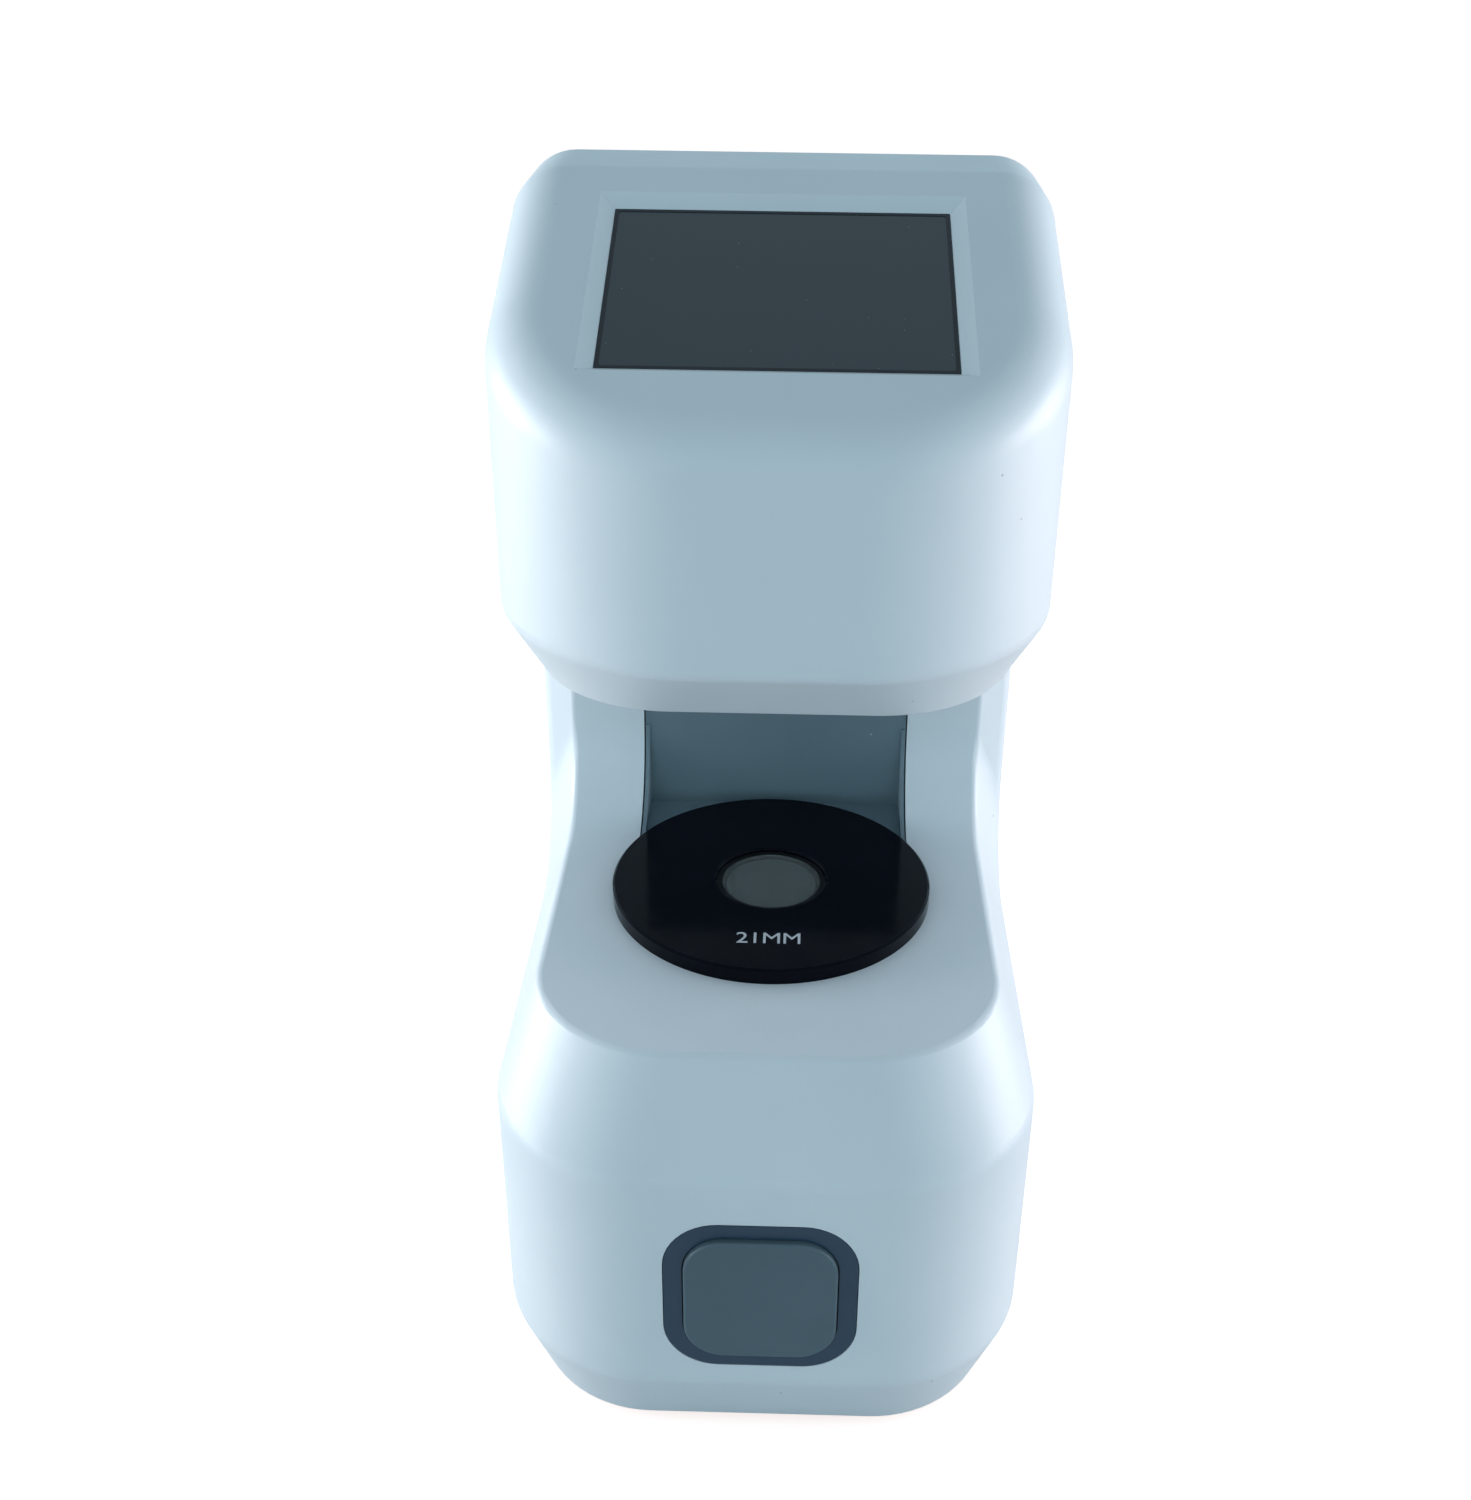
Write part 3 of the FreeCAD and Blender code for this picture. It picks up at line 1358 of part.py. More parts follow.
boardEdge = onFace("glass_high / 2 + slide_gap", "frame_depth + frame_thick + circuit_thick")
displayRibbon = [
    slab(
        "ribbon_wide", boardEdge["y"], "main_board_y", boardEdge["z"], "%s + ribbon_thick" % boardEdge["z"]
    ),
    slab(
        "ribbon_wide",
        ribbonY,
        "main_board_y",
        "main_board_low_z + main_board_high - standoff_inset",
        boardEdge["z"],
    ),
]
part(fuse(displayRibbon), "display_ribbon")

# rear switch and power inlet

frameLip = switchBox("switch_lip_long", "switch_lip_wide", "rear_y - bezel_recess", "rear_y")
frameBody = switchBox("switch_body_long", "switch_body_wide", "rear_y - switch_frame_deep", "rear_y")
frameRoom = switchBox(
    "switch_opening_long", "switch_opening_wide", "rear_y - switch_frame_deep + tray_wall", "rear_y + wall"
)
pivotHole = rod(
    "trunnion_radius + slide_gap / 2",
    "rocker_wide + 4 * slide_gap + 2 * trunnion_long",
    "rear_parts_x",
    "rear_y - rocker_setback",
    "rear_parts_z - rocker_wide / 2 - 2 * slide_gap - trunnion_long",
)
part(cut(fuse([frameLip, frameBody]), [frameRoom, pivotHole]), "rocker_frame")

rockerOutline = [
    ("0", "0"),
    ("rocker_long", "0"),
    ("rocker_long", "rocker_below + rocker_face + rocker_rise"),
    ("rocker_long / 2", "rocker_below + rocker_face"),
    ("0", "rocker_below + rocker_face + rocker_rise"),
]
rockerBar, rockerSketch = outlineBody("Rocker", rockerOutline, "XY_Plane")
rockerPad = rockerBar.newObject("PartDesign::Pad", "Pad")
rockerPad.Profile = rockerSketch
rockerPad.setExpression("Length", bound("rocker_wide"))
place(
    rockerBar,
    "rear_parts_x - rocker_long / 2 * cos(rocker_tilt) + rocker_below * sin(rocker_tilt)",
    "rear_y - rocker_setback - rocker_long / 2 * sin(rocker_tilt) - rocker_below * cos(rocker_tilt)",
    "rear_parts_z - rocker_wide / 2",
    Rotation(Vector(0, 0, 1), size("rocker_tilt")),
)
trunnions = rod(
    "trunnion_radius",
    "rocker_wide + 2 * slide_gap + 2 * trunnion_long",
    "rear_parts_x",
    "rear_y - rocker_setback",
    "rear_parts_z - rocker_wide / 2 - slide_gap - trunnion_long",
)
part(fuse([rockerBar, trunnions]), "power_rocker")

inletBlank = fuse(
    [
        inletPlate("InletShell", "0", "inlet_deep", "rear_y"),
        inletPlate("InletFlange", "inlet_flange", "inlet_flange_thick", "cover_inner_y"),
    ]
)
inletShell = cut(inletBlank, [inletPlate("InletRoom", "-inlet_wall", "inlet_deep - inlet_wall", "rear_y")])
tongue = slab(
    "inlet_wide - 2 * inlet_high / 2",
    "rear_y - inlet_deep + inlet_wall / 2",
    "rear_y - inlet_deep / 8",
    "rear_parts_z - inlet_tongue_high / 2",
    "rear_parts_z + inlet_tongue_high / 2",
    "-rear_parts_x",
)
part(fuse([inletShell, tongue]), "power_inlet")

# checks and files

doc.recompute()
failed = [obj.Label for obj in doc.Objects if {"Invalid", "Error"} & set(obj.State)]
for piece in subParts:
    if piece.Shape.isNull() or not piece.Shape.isValid() or not piece.Shape.Solids:
        failed.append(piece.Label)
if failed:
    raise RuntimeError("failed: " + ", ".join(failed))
os.makedirs("parts", exist_ok=True)
for piece in subParts:
    piece.Shape.exportStep("parts/%s.step" % piece.Label)
print(len(subParts), "pieces written")
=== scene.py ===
import json
import math

import bpy
import numpy as np
from mathutils import Matrix, Vector


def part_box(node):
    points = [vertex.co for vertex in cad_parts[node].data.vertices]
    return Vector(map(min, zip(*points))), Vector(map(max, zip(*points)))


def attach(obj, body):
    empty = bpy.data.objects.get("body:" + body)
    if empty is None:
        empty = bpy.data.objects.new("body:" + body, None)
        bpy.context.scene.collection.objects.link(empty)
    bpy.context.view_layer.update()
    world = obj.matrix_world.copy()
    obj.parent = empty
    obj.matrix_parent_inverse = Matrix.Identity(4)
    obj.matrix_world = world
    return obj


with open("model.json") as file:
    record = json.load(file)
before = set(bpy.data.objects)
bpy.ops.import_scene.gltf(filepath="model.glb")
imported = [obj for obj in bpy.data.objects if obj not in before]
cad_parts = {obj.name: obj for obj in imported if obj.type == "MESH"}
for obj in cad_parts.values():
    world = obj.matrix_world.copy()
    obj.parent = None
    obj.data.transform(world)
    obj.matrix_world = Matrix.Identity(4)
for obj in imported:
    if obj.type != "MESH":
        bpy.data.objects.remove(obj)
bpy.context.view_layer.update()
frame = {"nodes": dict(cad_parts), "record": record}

# Desk-top lensmeter: finishes, small printed and moulded details, light and camera. Metres.
nodes = frame["nodes"]
mm = 0.001


def makeTree(name, inputs, outputs):
    # an empty node group with named sockets; inputs are (name, kind, default)
    tree = bpy.data.node_groups.new(name, "ShaderNodeTree")
    for label, kind, default in inputs:
        socket = tree.interface.new_socket(label, in_out="INPUT", socket_type="NodeSocket" + kind)
        socket.default_value = default
    for label, kind in outputs:
        tree.interface.new_socket(label, in_out="OUTPUT", socket_type="NodeSocket" + kind)
    return tree, tree.nodes.new("NodeGroupInput").outputs, tree.nodes.new("NodeGroupOutput").inputs


def feed(tree, value, socket):
    # links the value if it is another node's output, and sets it if it is plain
    if isinstance(value, bpy.types.NodeSocket):
        tree.links.new(value, socket)
    else:
        socket.default_value = value


def add(tree, kind, **values):
    # a node with its properties set first, and then its inputs, by name or as _0, _1 by place
    item = tree.nodes.new("ShaderNode" + kind)
    for key, value in values.items():
        if hasattr(item, key):
            setattr(item, key, value)
    for key, value in values.items():
        if not hasattr(item, key):
            feed(tree, value, item.inputs[int(key[1:]) if key[0] == "_" else key.replace("_", " ")])
    return item


def fill(tree, item, **values):
    # gives a node's inputs their values, by name with underscores for spaces
    for key, value in values.items():
        feed(tree, value, item.inputs[key.replace("_", " ")])


def sums(tree, operation, a, b):
    return add(tree, "Math", operation=operation, _0=a, _1=b).outputs[0]


def blendColours(tree, share, a, b):
    mix = add(tree, "Mix", data_type="RGBA")
    # a colour mix keeps its share in input 0 and its two colours in 6 and 7
    for place, value in ((0, share), (6, a), (7, b)):
        feed(tree, value, mix.inputs[place])
    return mix.outputs[2]


def noise(tree, place, scale, detail=2.0, roughness=0.5):
    item = add(tree, "TexNoise", Vector=place, Scale=scale, Detail=detail, Roughness=roughness)
    return item.outputs["Fac"]


def ramp(tree, value, low, high, start=0.0, end=1.0):
    item = add(tree, "MapRange", Value=value, From_Min=low, From_Max=high, To_Min=start, To_Max=end)
    return item.outputs[0]


print("scene: frame loaded,", len(nodes), "nodes")


# how the patterns of the moulded skin are scaled and weighed against each other
skinMix = {
    "smearScale": 85.0, "smearFrom": 0.5, "smearTo": 0.72, "driftFrom": 0.3, "driftTo": 0.7,
    "driftTone": 0.75, "fineTone": 0.25, "fineMiddle": 0.5, "fineRough": 0.12, "smearRough": 0.16,
    "coarseScale": 0.3, "coarseHeight": 0.7,
}


def makeMouldedSkin():
    # spark-eroded mould texture with slow tone drift and faint handling marks
    tree, source, result = makeTree(
        "mouldedSkin",
        [
            ("Colour", "Color", (1, 1, 1, 1)),
            ("Shade", "Color", (0.8, 0.8, 0.8, 1)),
            ("Roughness", "Float", 0.4),
            ("Grain", "Float", 3000.0),
            ("Drift", "Float", 30.0),
            ("Marks", "Float", 0.3),
        ],
        [("Colour", "Color"), ("Roughness", "Float"), ("Height", "Float")],
    )
    place = add(tree, "TexCoord").outputs["Object"]
    drift = noise(tree, place, source["Drift"], detail=3.0, roughness=0.55)
    fine = noise(tree, place, source["Grain"], detail=3.0, roughness=0.6)
    coarseGrain = sums(tree, "MULTIPLY", source["Grain"], skinMix["coarseScale"])
    coarse = noise(tree, place, coarseGrain, detail=2.0)
    smears = noise(tree, place, skinMix["smearScale"], detail=4.0, roughness=0.65)
    smears = ramp(tree, smears, skinMix["smearFrom"], skinMix["smearTo"])
    smears = sums(tree, "MULTIPLY", smears, source["Marks"])
    slow = ramp(tree, drift, skinMix["driftFrom"], skinMix["driftTo"])
    slow = sums(tree, "MULTIPLY", slow, skinMix["driftTone"])
    tone = sums(tree, "ADD", slow, sums(tree, "MULTIPLY", fine, skinMix["fineTone"]))
    tree.links.new(blendColours(tree, tone, source["Shade"], source["Colour"]), result["Colour"])
    uneven = sums(tree, "SUBTRACT", fine, skinMix["fineMiddle"])
    uneven = sums(tree, "MULTIPLY", uneven, skinMix["fineRough"])
    rough = sums(tree, "ADD", source["Roughness"], uneven)
    rough = sums(tree, "ADD", rough, sums(tree, "MULTIPLY", smears, skinMix["smearRough"]))
    tree.links.new(rough, result["Roughness"])
    relief = sums(tree, "MULTIPLY", coarse, skinMix["coarseHeight"])
    tree.links.new(sums(tree, "ADD", fine, relief), result["Height"])
    return tree


dustCover = 0.55


def makeDust():
    # sparse specks that catch on a surface: cell middles, kept where the cell's random value is low
    tree, source, result = makeTree(
        "dustSpecks",
        [
            ("Colour", "Color", (1, 1, 1, 1)),
            ("Dust", "Color", (0.6, 0.6, 0.58, 1)),
            ("Scale", "Float", 260.0),
            ("Size", "Float", 0.06),
            ("Amount", "Float", 0.5),
        ],
        [("Colour", "Color"), ("Mask", "Float")],
    )
    place = add(tree, "TexCoord").outputs["Object"]
    cells = add(tree, "TexVoronoi", Vector=place, Scale=source["Scale"], Randomness=1.0)
    near = sums(tree, "LESS_THAN", cells.outputs["Distance"], source["Size"])
    pick = add(tree, "SeparateColor", Color=cells.outputs["Color"]).outputs[0]
    mask = sums(tree, "MULTIPLY", near, sums(tree, "LESS_THAN", pick, source["Amount"]))
    tree.links.new(mask, result["Mask"])
    cover = sums(tree, "MULTIPLY", mask, dustCover)
    tree.links.new(blendColours(tree, cover, source["Colour"], source["Dust"]), result["Colour"])
    return tree


def makeTurned():
    # fine rings round a vertical axis, as a lathe tool leaves them
    tree, source, result = makeTree(
        "turnedRings",
        [("Centre", "Vector", (0, 0, 0)), ("Pitch", "Float", 0.00025), ("Waver", "Float", 0.3)],
        [("Height", "Float"), ("Mask", "Float")],
    )
    place = add(tree, "TexCoord").outputs["Object"]
    fromAxis = add(tree, "VectorMath", operation="SUBTRACT", _0=place, _1=source["Centre"]).outputs[0]
    flat = add(tree, "VectorMath", operation="MULTIPLY", _0=fromAxis, _1=(1, 1, 0)).outputs[0]
    radius = add(tree, "VectorMath", operation="LENGTH", _0=flat).outputs["Value"]
    turns = sums(tree, "DIVIDE", radius, source["Pitch"])
    wave = sums(tree, "SINE", sums(tree, "MULTIPLY", turns, 2 * math.pi), 0.0)
    waver = noise(tree, place, scale=240.0, detail=2.0)
    height = sums(tree, "ADD", wave, sums(tree, "MULTIPLY", waver, source["Waver"]))
    tree.links.new(height, result["Height"])
    tree.links.new(ramp(tree, height, low=-1.0, high=1.4), result["Mask"])
    return tree


brushedMix = {"patchScale": 400.0, "toneShare": 0.5, "patchMiddle": 0.4, "patchRough": 0.3}


def makeBrushed():
    # grain drawn out along one axis, with small scratches
    tree, source, result = makeTree(
        "brushedGrain",
        [
            ("Stretch", "Vector", (1, 1, 0.05)),
            ("Scale", "Float", 3500.0),
            ("Colour", "Color", (0.6, 0.6, 0.6, 1)),
            ("Shade", "Color", (0.4, 0.4, 0.4, 1)),
            ("Roughness", "Float", 0.3),
        ],
        [("Colour", "Color"), ("Roughness", "Float"), ("Height", "Float")],
    )
    place = add(tree, "TexCoord").outputs["Object"]
    drawn = add(tree, "VectorMath", operation="MULTIPLY", _0=place, _1=source["Stretch"]).outputs[0]
    grain = noise(tree, drawn, source["Scale"], detail=3.0, roughness=0.6)
    patches = noise(tree, place, brushedMix["patchScale"], detail=2.0)
    tone = sums(tree, "MULTIPLY", sums(tree, "ADD", grain, patches), brushedMix["toneShare"])
    tree.links.new(blendColours(tree, tone, source["Shade"], source["Colour"]), result["Colour"])
    uneven = sums(tree, "SUBTRACT", patches, brushedMix["patchMiddle"])
    uneven = sums(tree, "MULTIPLY", uneven, brushedMix["patchRough"])
    tree.links.new(sums(tree, "ADD", source["Roughness"], uneven), result["Roughness"])
    tree.links.new(grain, result["Height"])
    return tree


mouldedSkin = makeMouldedSkin()
dustSpecks = makeDust()
turnedRings = makeTurned()
brushedGrain = makeBrushed()


def useGroup(tree, group, **values):
    item = tree.nodes.new("ShaderNodeGroup")
    item.node_tree = group
    fill(tree, item, **values)
    return item.outputs


def newMaterial(name):
    material = bpy.data.materials.new(name)
    material.use_nodes = True
    return material, material.node_tree, material.node_tree.nodes["Principled BSDF"]


def rgb(red, green, blue):
    # screen values 0 to 255 turned to the linear values that a shader takes
    def linear(value):
        value /= 255
        return value / 12.92 if value <= 0.04045 else ((value + 0.055) / 1.055) ** 2.4
    return (linear(red), linear(green), linear(blue), 1)


def bumpFrom(tree, height, strength, distance):
    return add(tree, "Bump", Height=height, Strength=strength, Distance=distance).outputs[0]


def plastic(
    name,
    colour,
    shade,
    roughness,
    grain=3000.0,
    depth=0.02,
    drift=30.0,
    marks=0.3,
    coat=0.0,
    dust=0.3,
    dustColour=(0.6, 0.6, 0.58, 1),
    specular=0.5,
):
    material, tree, shader = newMaterial(name)
    skin = useGroup(
        tree,
        mouldedSkin,
        Colour=colour,
        Shade=shade,
        Roughness=roughness,
        Grain=grain,
        Drift=drift,
        Marks=marks,
    )
    specks = useGroup(tree, dustSpecks, Colour=skin["Colour"], Dust=dustColour, Amount=dust)
    fill(
        tree,
        shader,
        Base_Color=specks["Colour"],
        Roughness=skin["Roughness"],
        Normal=bumpFrom(tree, skin["Height"], strength=0.5, distance=depth * mm),
        Specular_IOR_Level=specular,
    )
    if coat:
        fill(tree, shader, Coat_Weight=coat, Coat_Roughness=0.12)
    return material


def metal(name, colour, shade, roughness, stretch=(1, 1, 0.05), scale=3500.0):
    material, tree, shader = newMaterial(name)
    grain = useGroup(
        tree,
        brushedGrain,
        Stretch=stretch,
        Scale=scale,
        Colour=colour,
        Shade=shade,
        Roughness=roughness,
    )
    fill(
        tree,
        shader,
        Base_Color=grain["Colour"],
        Roughness=grain["Roughness"],
        Normal=bumpFrom(tree, grain["Height"], strength=0.4, distance=0.01 * mm),
        Metallic=1.0,
    )
    return material


turnedLook = {"grain": 2500.0, "drift": 60.0, "marks": 0.5, "ringShade": 0.25}


def turnedMetal(name, colour, shade, roughness, centre, pitch, depth, metallic, specular=0.5):
    material, tree, shader = newMaterial(name)
    rings = useGroup(tree, turnedRings, Centre=centre, Pitch=pitch * mm)
    skin = useGroup(
        tree,
        mouldedSkin,
        Colour=colour,
        Shade=shade,
        Roughness=roughness,
        Grain=turnedLook["grain"],
        Drift=turnedLook["drift"],
        Marks=turnedLook["marks"],
    )
    ringShade = sums(tree, "MULTIPLY", rings["Mask"], turnedLook["ringShade"])
    fill(
        tree,
        shader,
        Base_Color=blendColours(tree, ringShade, skin["Colour"], shade),
        Roughness=skin["Roughness"],
        Normal=bumpFrom(tree, rings["Height"], strength=0.35, distance=depth * mm),
        Metallic=metallic,
        Specular_IOR_Level=specular,
    )
    return material


smearLook = {"colour": (0.5, 0.52, 0.52, 1), "cover": 0.15, "rough": 0.10}


def glass(name, colour, roughness, transmission):
    # clear glass with a few faint smears
    material, tree, shader = newMaterial(name)
    place = add(tree, "TexCoord").outputs["Object"]
    smears = noise(tree, place, scale=130.0, detail=4.0, roughness=0.6)
    smears = ramp(tree, smears, low=0.45, high=0.75)
    cover = sums(tree, "MULTIPLY", smears, smearLook["cover"])
    uneven = sums(tree, "MULTIPLY", smears, smearLook["rough"])
    fill(
        tree,
        shader,
        Base_Color=blendColours(tree, cover, colour, smearLook["colour"]),
        Roughness=sums(tree, "ADD", uneven, roughness),
        Normal=bumpFrom(tree, smears, strength=0.1, distance=0.004 * mm),
        Transmission_Weight=transmission,
        IOR=1.5,
    )
    return material


copperShare = 0.6


def circuitBoard(name, colour, copper):
    # solder mask with buried tracks, shown by the edges of large square-ish cells
    material, tree, shader = newMaterial(name)
    place = add(tree, "TexCoord").outputs["Object"]
    cells = add(
        tree, "TexVoronoi", feature="DISTANCE_TO_EDGE", Vector=place, Scale=420.0, Randomness=0.75
    ).outputs["Distance"]
    tracks = ramp(tree, cells, low=0.05, high=0.09, start=1.0, end=0.0)
    fine = noise(tree, place, scale=900.0, detail=3.0)
    shine = sums(tree, "MULTIPLY", tracks, copperShare)
    fill(
        tree,
        shader,
        Base_Color=blendColours(tree, shine, colour, copper),
        Roughness=ramp(tree, fine, low=0.0, high=1.0, start=0.25, end=0.45),
        Normal=bumpFrom(tree, tracks, strength=0.4, distance=0.03 * mm),
        Coat_Weight=0.4,
    )
    return material


discLow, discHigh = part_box("lens_table_disc")
opticalAxis = ((discLow.x + discHigh.x) / 2, (discLow.y + discHigh.y) / 2, 0.0)

# one finish for each material slot: colour, darker shade, then the surface; depth and pitch in mm
finishes = {
    "casing_white": plastic(
        "casingWhite",
        rgb(232, 240, 244),
        rgb(224, 233, 238),
        roughness=0.42,
        grain=2600.0,
        depth=0.022,
        drift=22.0,
        marks=0.35,
        dust=0.06,
        dustColour=(0.25, 0.25, 0.25, 1),
    ),
    "feet_rubber": plastic(
        "footRubber",
        rgb(40, 41, 43),
        rgb(28, 29, 31),
        roughness=0.75,
        grain=1800.0,
        depth=0.05,
        drift=120.0,
        marks=0.6,
        dust=0.5,
        specular=0.3,
    ),
    "screw_steel": metal("screwSteel", rgb(186, 187, 190), rgb(142, 143, 147), roughness=0.28),
    "panel_dark": plastic(
        "throatPanel",
        rgb(118, 138, 147),
        rgb(106, 127, 137),
        roughness=0.5,
        grain=2200.0,
        depth=0.02,
        drift=26.0,
        marks=0.4,
        dust=0.12,
    ),
    "disc_black": turnedMetal(
        "lensTableBlack",
        rgb(7, 9, 20),
        rgb(3, 5, 13),
        roughness=0.1,
        centre=opticalAxis,
        pitch=0.3,
        depth=0.0006,
        metallic=0.0,
        specular=0.1,
    ),
    "magnet_nickel": metal("magnetNickel", rgb(205, 204, 200), rgb(165, 164, 160), roughness=0.2),
    "ring_black": turnedMetal(
        "collarAnodised",
        rgb(26, 27, 31),
        rgb(14, 15, 19),
        roughness=0.35,
        centre=opticalAxis,
        pitch=0.2,
        depth=0.01,
        metallic=0.5,
    ),
    "optical_glass": glass("coatedGlass", (0.86, 0.93, 0.90, 1), roughness=0.03, transmission=0.92),
    "tube_black": turnedMetal(
        "tubeAnodised",
        rgb(34, 35, 39),
        rgb(20, 21, 25),
        roughness=0.45,
        centre=opticalAxis,
        pitch=0.4,
        depth=0.02,
        metallic=0.6,
    ),
    "pinhole_steel": metal("pinholeSteel", rgb(88, 88, 92), rgb(56, 56, 60), roughness=0.4),
    "board_green": circuitBoard("boardGreen", rgb(22, 92, 58), rgb(52, 132, 84)),
    "chip_black": plastic(
        "chipBlack", rgb(46, 47, 50), rgb(32, 33, 36), roughness=0.55, grain=4000.0, depth=0.02
    ),
    "diode_yellow": plastic(
        "diodeResin",
        rgb(238, 214, 92),
        rgb(222, 190, 60),
        roughness=0.25,
        grain=1500.0,
        depth=0.01,
        coat=0.5,
    ),
    "sink_aluminium": metal(
        "sinkAluminium",
        rgb(198, 200, 203),
        rgb(160, 162, 166),
        roughness=0.35,
        stretch=(0.05, 1, 1),
    ),
    "display_dark": plastic(
        "displayPanel",
        rgb(42, 50, 56),
        rgb(36, 44, 50),
        roughness=0.3,
        grain=900.0,
        depth=0.004,
        drift=60.0,
        marks=0.1,
        dust=0.0,
    ),
    "frame_grey": plastic("frameGrey", rgb(120, 122, 126), rgb(104, 106, 110), roughness=0.5),
    "button_grey": plastic(
        "buttonGrey",
        rgb(88, 110, 119),
        rgb(80, 101, 111),
        roughness=0.42,
        grain=2600.0,
        depth=0.016,
        drift=40.0,
        marks=0.7,
        dust=0.1,
    ),
    "bezel_blue": plastic(
        "bezelSlate",
        rgb(41, 69, 91),
        rgb(35, 62, 84),
        roughness=0.35,
        grain=3000.0,
        depth=0.008,
        drift=40.0,
        marks=0.3,
        coat=0.25,
        dust=0.08,
    ),
    "spring_steel": metal(
        "springSteel",
        rgb(196, 197, 200),
        rgb(150, 151, 155),
        roughness=0.25,
        stretch=(1, 1, 1),
        scale=2500.0,
    ),
    "battery_sleeve": plastic(
        "batterySleeve",
        rgb(60, 104, 168),
        rgb(48, 88, 148),
        roughness=0.32,
        grain=700.0,
        depth=0.04,
        drift=50.0,
        marks=0.4,
        coat=0.3,
    ),
    "tray_black": plastic("trayBlack", rgb(50, 51, 54), rgb(36, 37, 40), roughness=0.55),
    "brass": metal("brassStandoff", rgb(206, 176, 104), rgb(170, 138, 72), roughness=0.25),
    "ribbon_amber": plastic(
        "ribbonFilm",
        rgb(206, 136, 52),
        rgb(184, 112, 36),
        roughness=0.3,
        grain=600.0,
        depth=0.01,
        drift=90.0,
        marks=0.2,
        coat=0.4,
    ),
    "rocker_black": plastic(
        "rockerBlack",
        rgb(34, 35, 38),
        rgb(22, 23, 26),
        roughness=0.42,
        grain=3000.0,
        depth=0.03,
        drift=60.0,
        marks=0.5,
        dust=0.3,
    ),
    "socket_steel": metal(
        "socketSteel", rgb(192, 193, 197), rgb(150, 151, 156), roughness=0.22, stretch=(1, 0.05, 1)
    ),
}

screenFinish = {
    "Colour": rgb(54, 67, 74),
    "Shade": rgb(47, 60, 68),
    "Roughness": 0.13,
    "Grain": 9000.0,
    "Drift": 14.0,
    "Marks": 0.5,
}


def makeScreenGlass():
    # a dark display that is switched off, behind glass with faint wiping marks
    material, tree, shader = newMaterial("screenGlass")
    skin = useGroup(tree, mouldedSkin, **screenFinish)
    specks = useGroup(
        tree,
        dustSpecks,
        Colour=skin["Colour"],
        Dust=(0.5, 0.52, 0.54, 1),
        Scale=700.0,
        Size=0.05,
        Amount=0.12,
    )
    fill(
        tree,
        shader,
        Base_Color=specks["Colour"],
        Roughness=skin["Roughness"],
        Normal=bumpFrom(tree, skin["Height"], strength=0.08, distance=0.002 * mm),
        Coat_Weight=0.6,
        Coat_Roughness=0.03,
    )
    return material


finishes["screen_glass"] = makeScreenGlass()

for entry in frame["record"]["subparts"]:
    mesh = nodes[entry["node"]].data
    mesh.materials.clear()
    mesh.materials.append(finishes[entry["material_slot"]])
print("scene: materials made,", len(finishes))


def meshPiece(name, points, faces, body, material):
    mesh = bpy.data.meshes.new(name)
    mesh.from_pydata(points.tolist(), [], faces.tolist())
    mesh.update()
    piece = bpy.data.objects.new(name, mesh)
    bpy.context.scene.collection.objects.link(piece)
    mesh.materials.append(material)
    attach(piece, body)


def roundedLoop(wide, high, corner, perCorner):
    # points round a rectangle whose corners are quarter circles, anticlockwise from the right
    turn = np.linspace(0, math.pi / 2, perCorner)
    x, y = wide / 2 - corner, high / 2 - corner
    centres = np.array([(x, y), (-x, y), (-x, -y), (x, -y)])
    angles = turn[None, :] + np.arange(4)[:, None] * math.pi / 2
    circle = np.stack([np.cos(angles), np.sin(angles)], -1) * corner
    return (centres[:, None, :] + circle).reshape(-1, 2)


def sweepProfile(loops, heights):
    # a closed profile carried round a closed path: ring k is loop k at its height, and the faces
    # join each ring to the next and the last to the first
    rings = len(loops)
    count = len(loops[0])
    points = np.concatenate(
        [np.column_stack([loop, np.full(count, height)]) for loop, height in zip(loops, heights)]
    )
    i = np.arange(count)
    quads = []
    for k in range(rings):
        a, b = k * count, ((k + 1) % rings) * count
        quads.append(np.column_stack([a + i, a + (i + 1) % count, b + (i + 1) % count, b + i]))
    return points, np.concatenate(quads)


def placePoints(points, matrix):
    # carries an array of points through a 4 by 4 matrix
    m = np.array(matrix)
    return points @ m[:3, :3].T + m[:3, 3]


# screen border: a dark band laid on the glass all round inside the opening; its dark colour is
# painted shade, standing for the shade in the corner of the screen recess
screenBorder = {
    "wide": 57.0, "high": 42.8, "line": 0.7, "thick": 0.06, "lift": 0.03, "tilt": 22.4,
    "glassThick": 1.1, "outerCorner": 0.2, "innerCorner": 0.5, "perCorner": 4,
}
glassLow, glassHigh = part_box("screen_glass")
tilt = math.radians(screenBorder["tilt"])
faceUp = Vector((0, math.cos(tilt), math.sin(tilt)))
faceOut = Vector((0, -math.sin(tilt), math.cos(tilt)))
glassMiddle = (glassLow + glassHigh) / 2
glassFront = glassMiddle + faceOut * (screenBorder["glassThick"] / 2 * mm)
faceMatrix = Matrix((
    (1, faceUp.x, faceOut.x, glassFront.x),
    (0, faceUp.y, faceOut.y, glassFront.y),
    (0, faceUp.z, faceOut.z, glassFront.z),
    (0, 0, 0, 1),
))
outer, inner = (
    roundedLoop(
        (screenBorder["wide"] - 2 * inset) * mm,
        (screenBorder["high"] - 2 * inset) * mm,
        screenBorder[corner] * mm,
        screenBorder["perCorner"],
    )
    for inset, corner in ((0, "outerCorner"), (screenBorder["line"], "innerCorner"))
)
low, high = screenBorder["lift"] * mm, (screenBorder["lift"] + screenBorder["thick"]) * mm
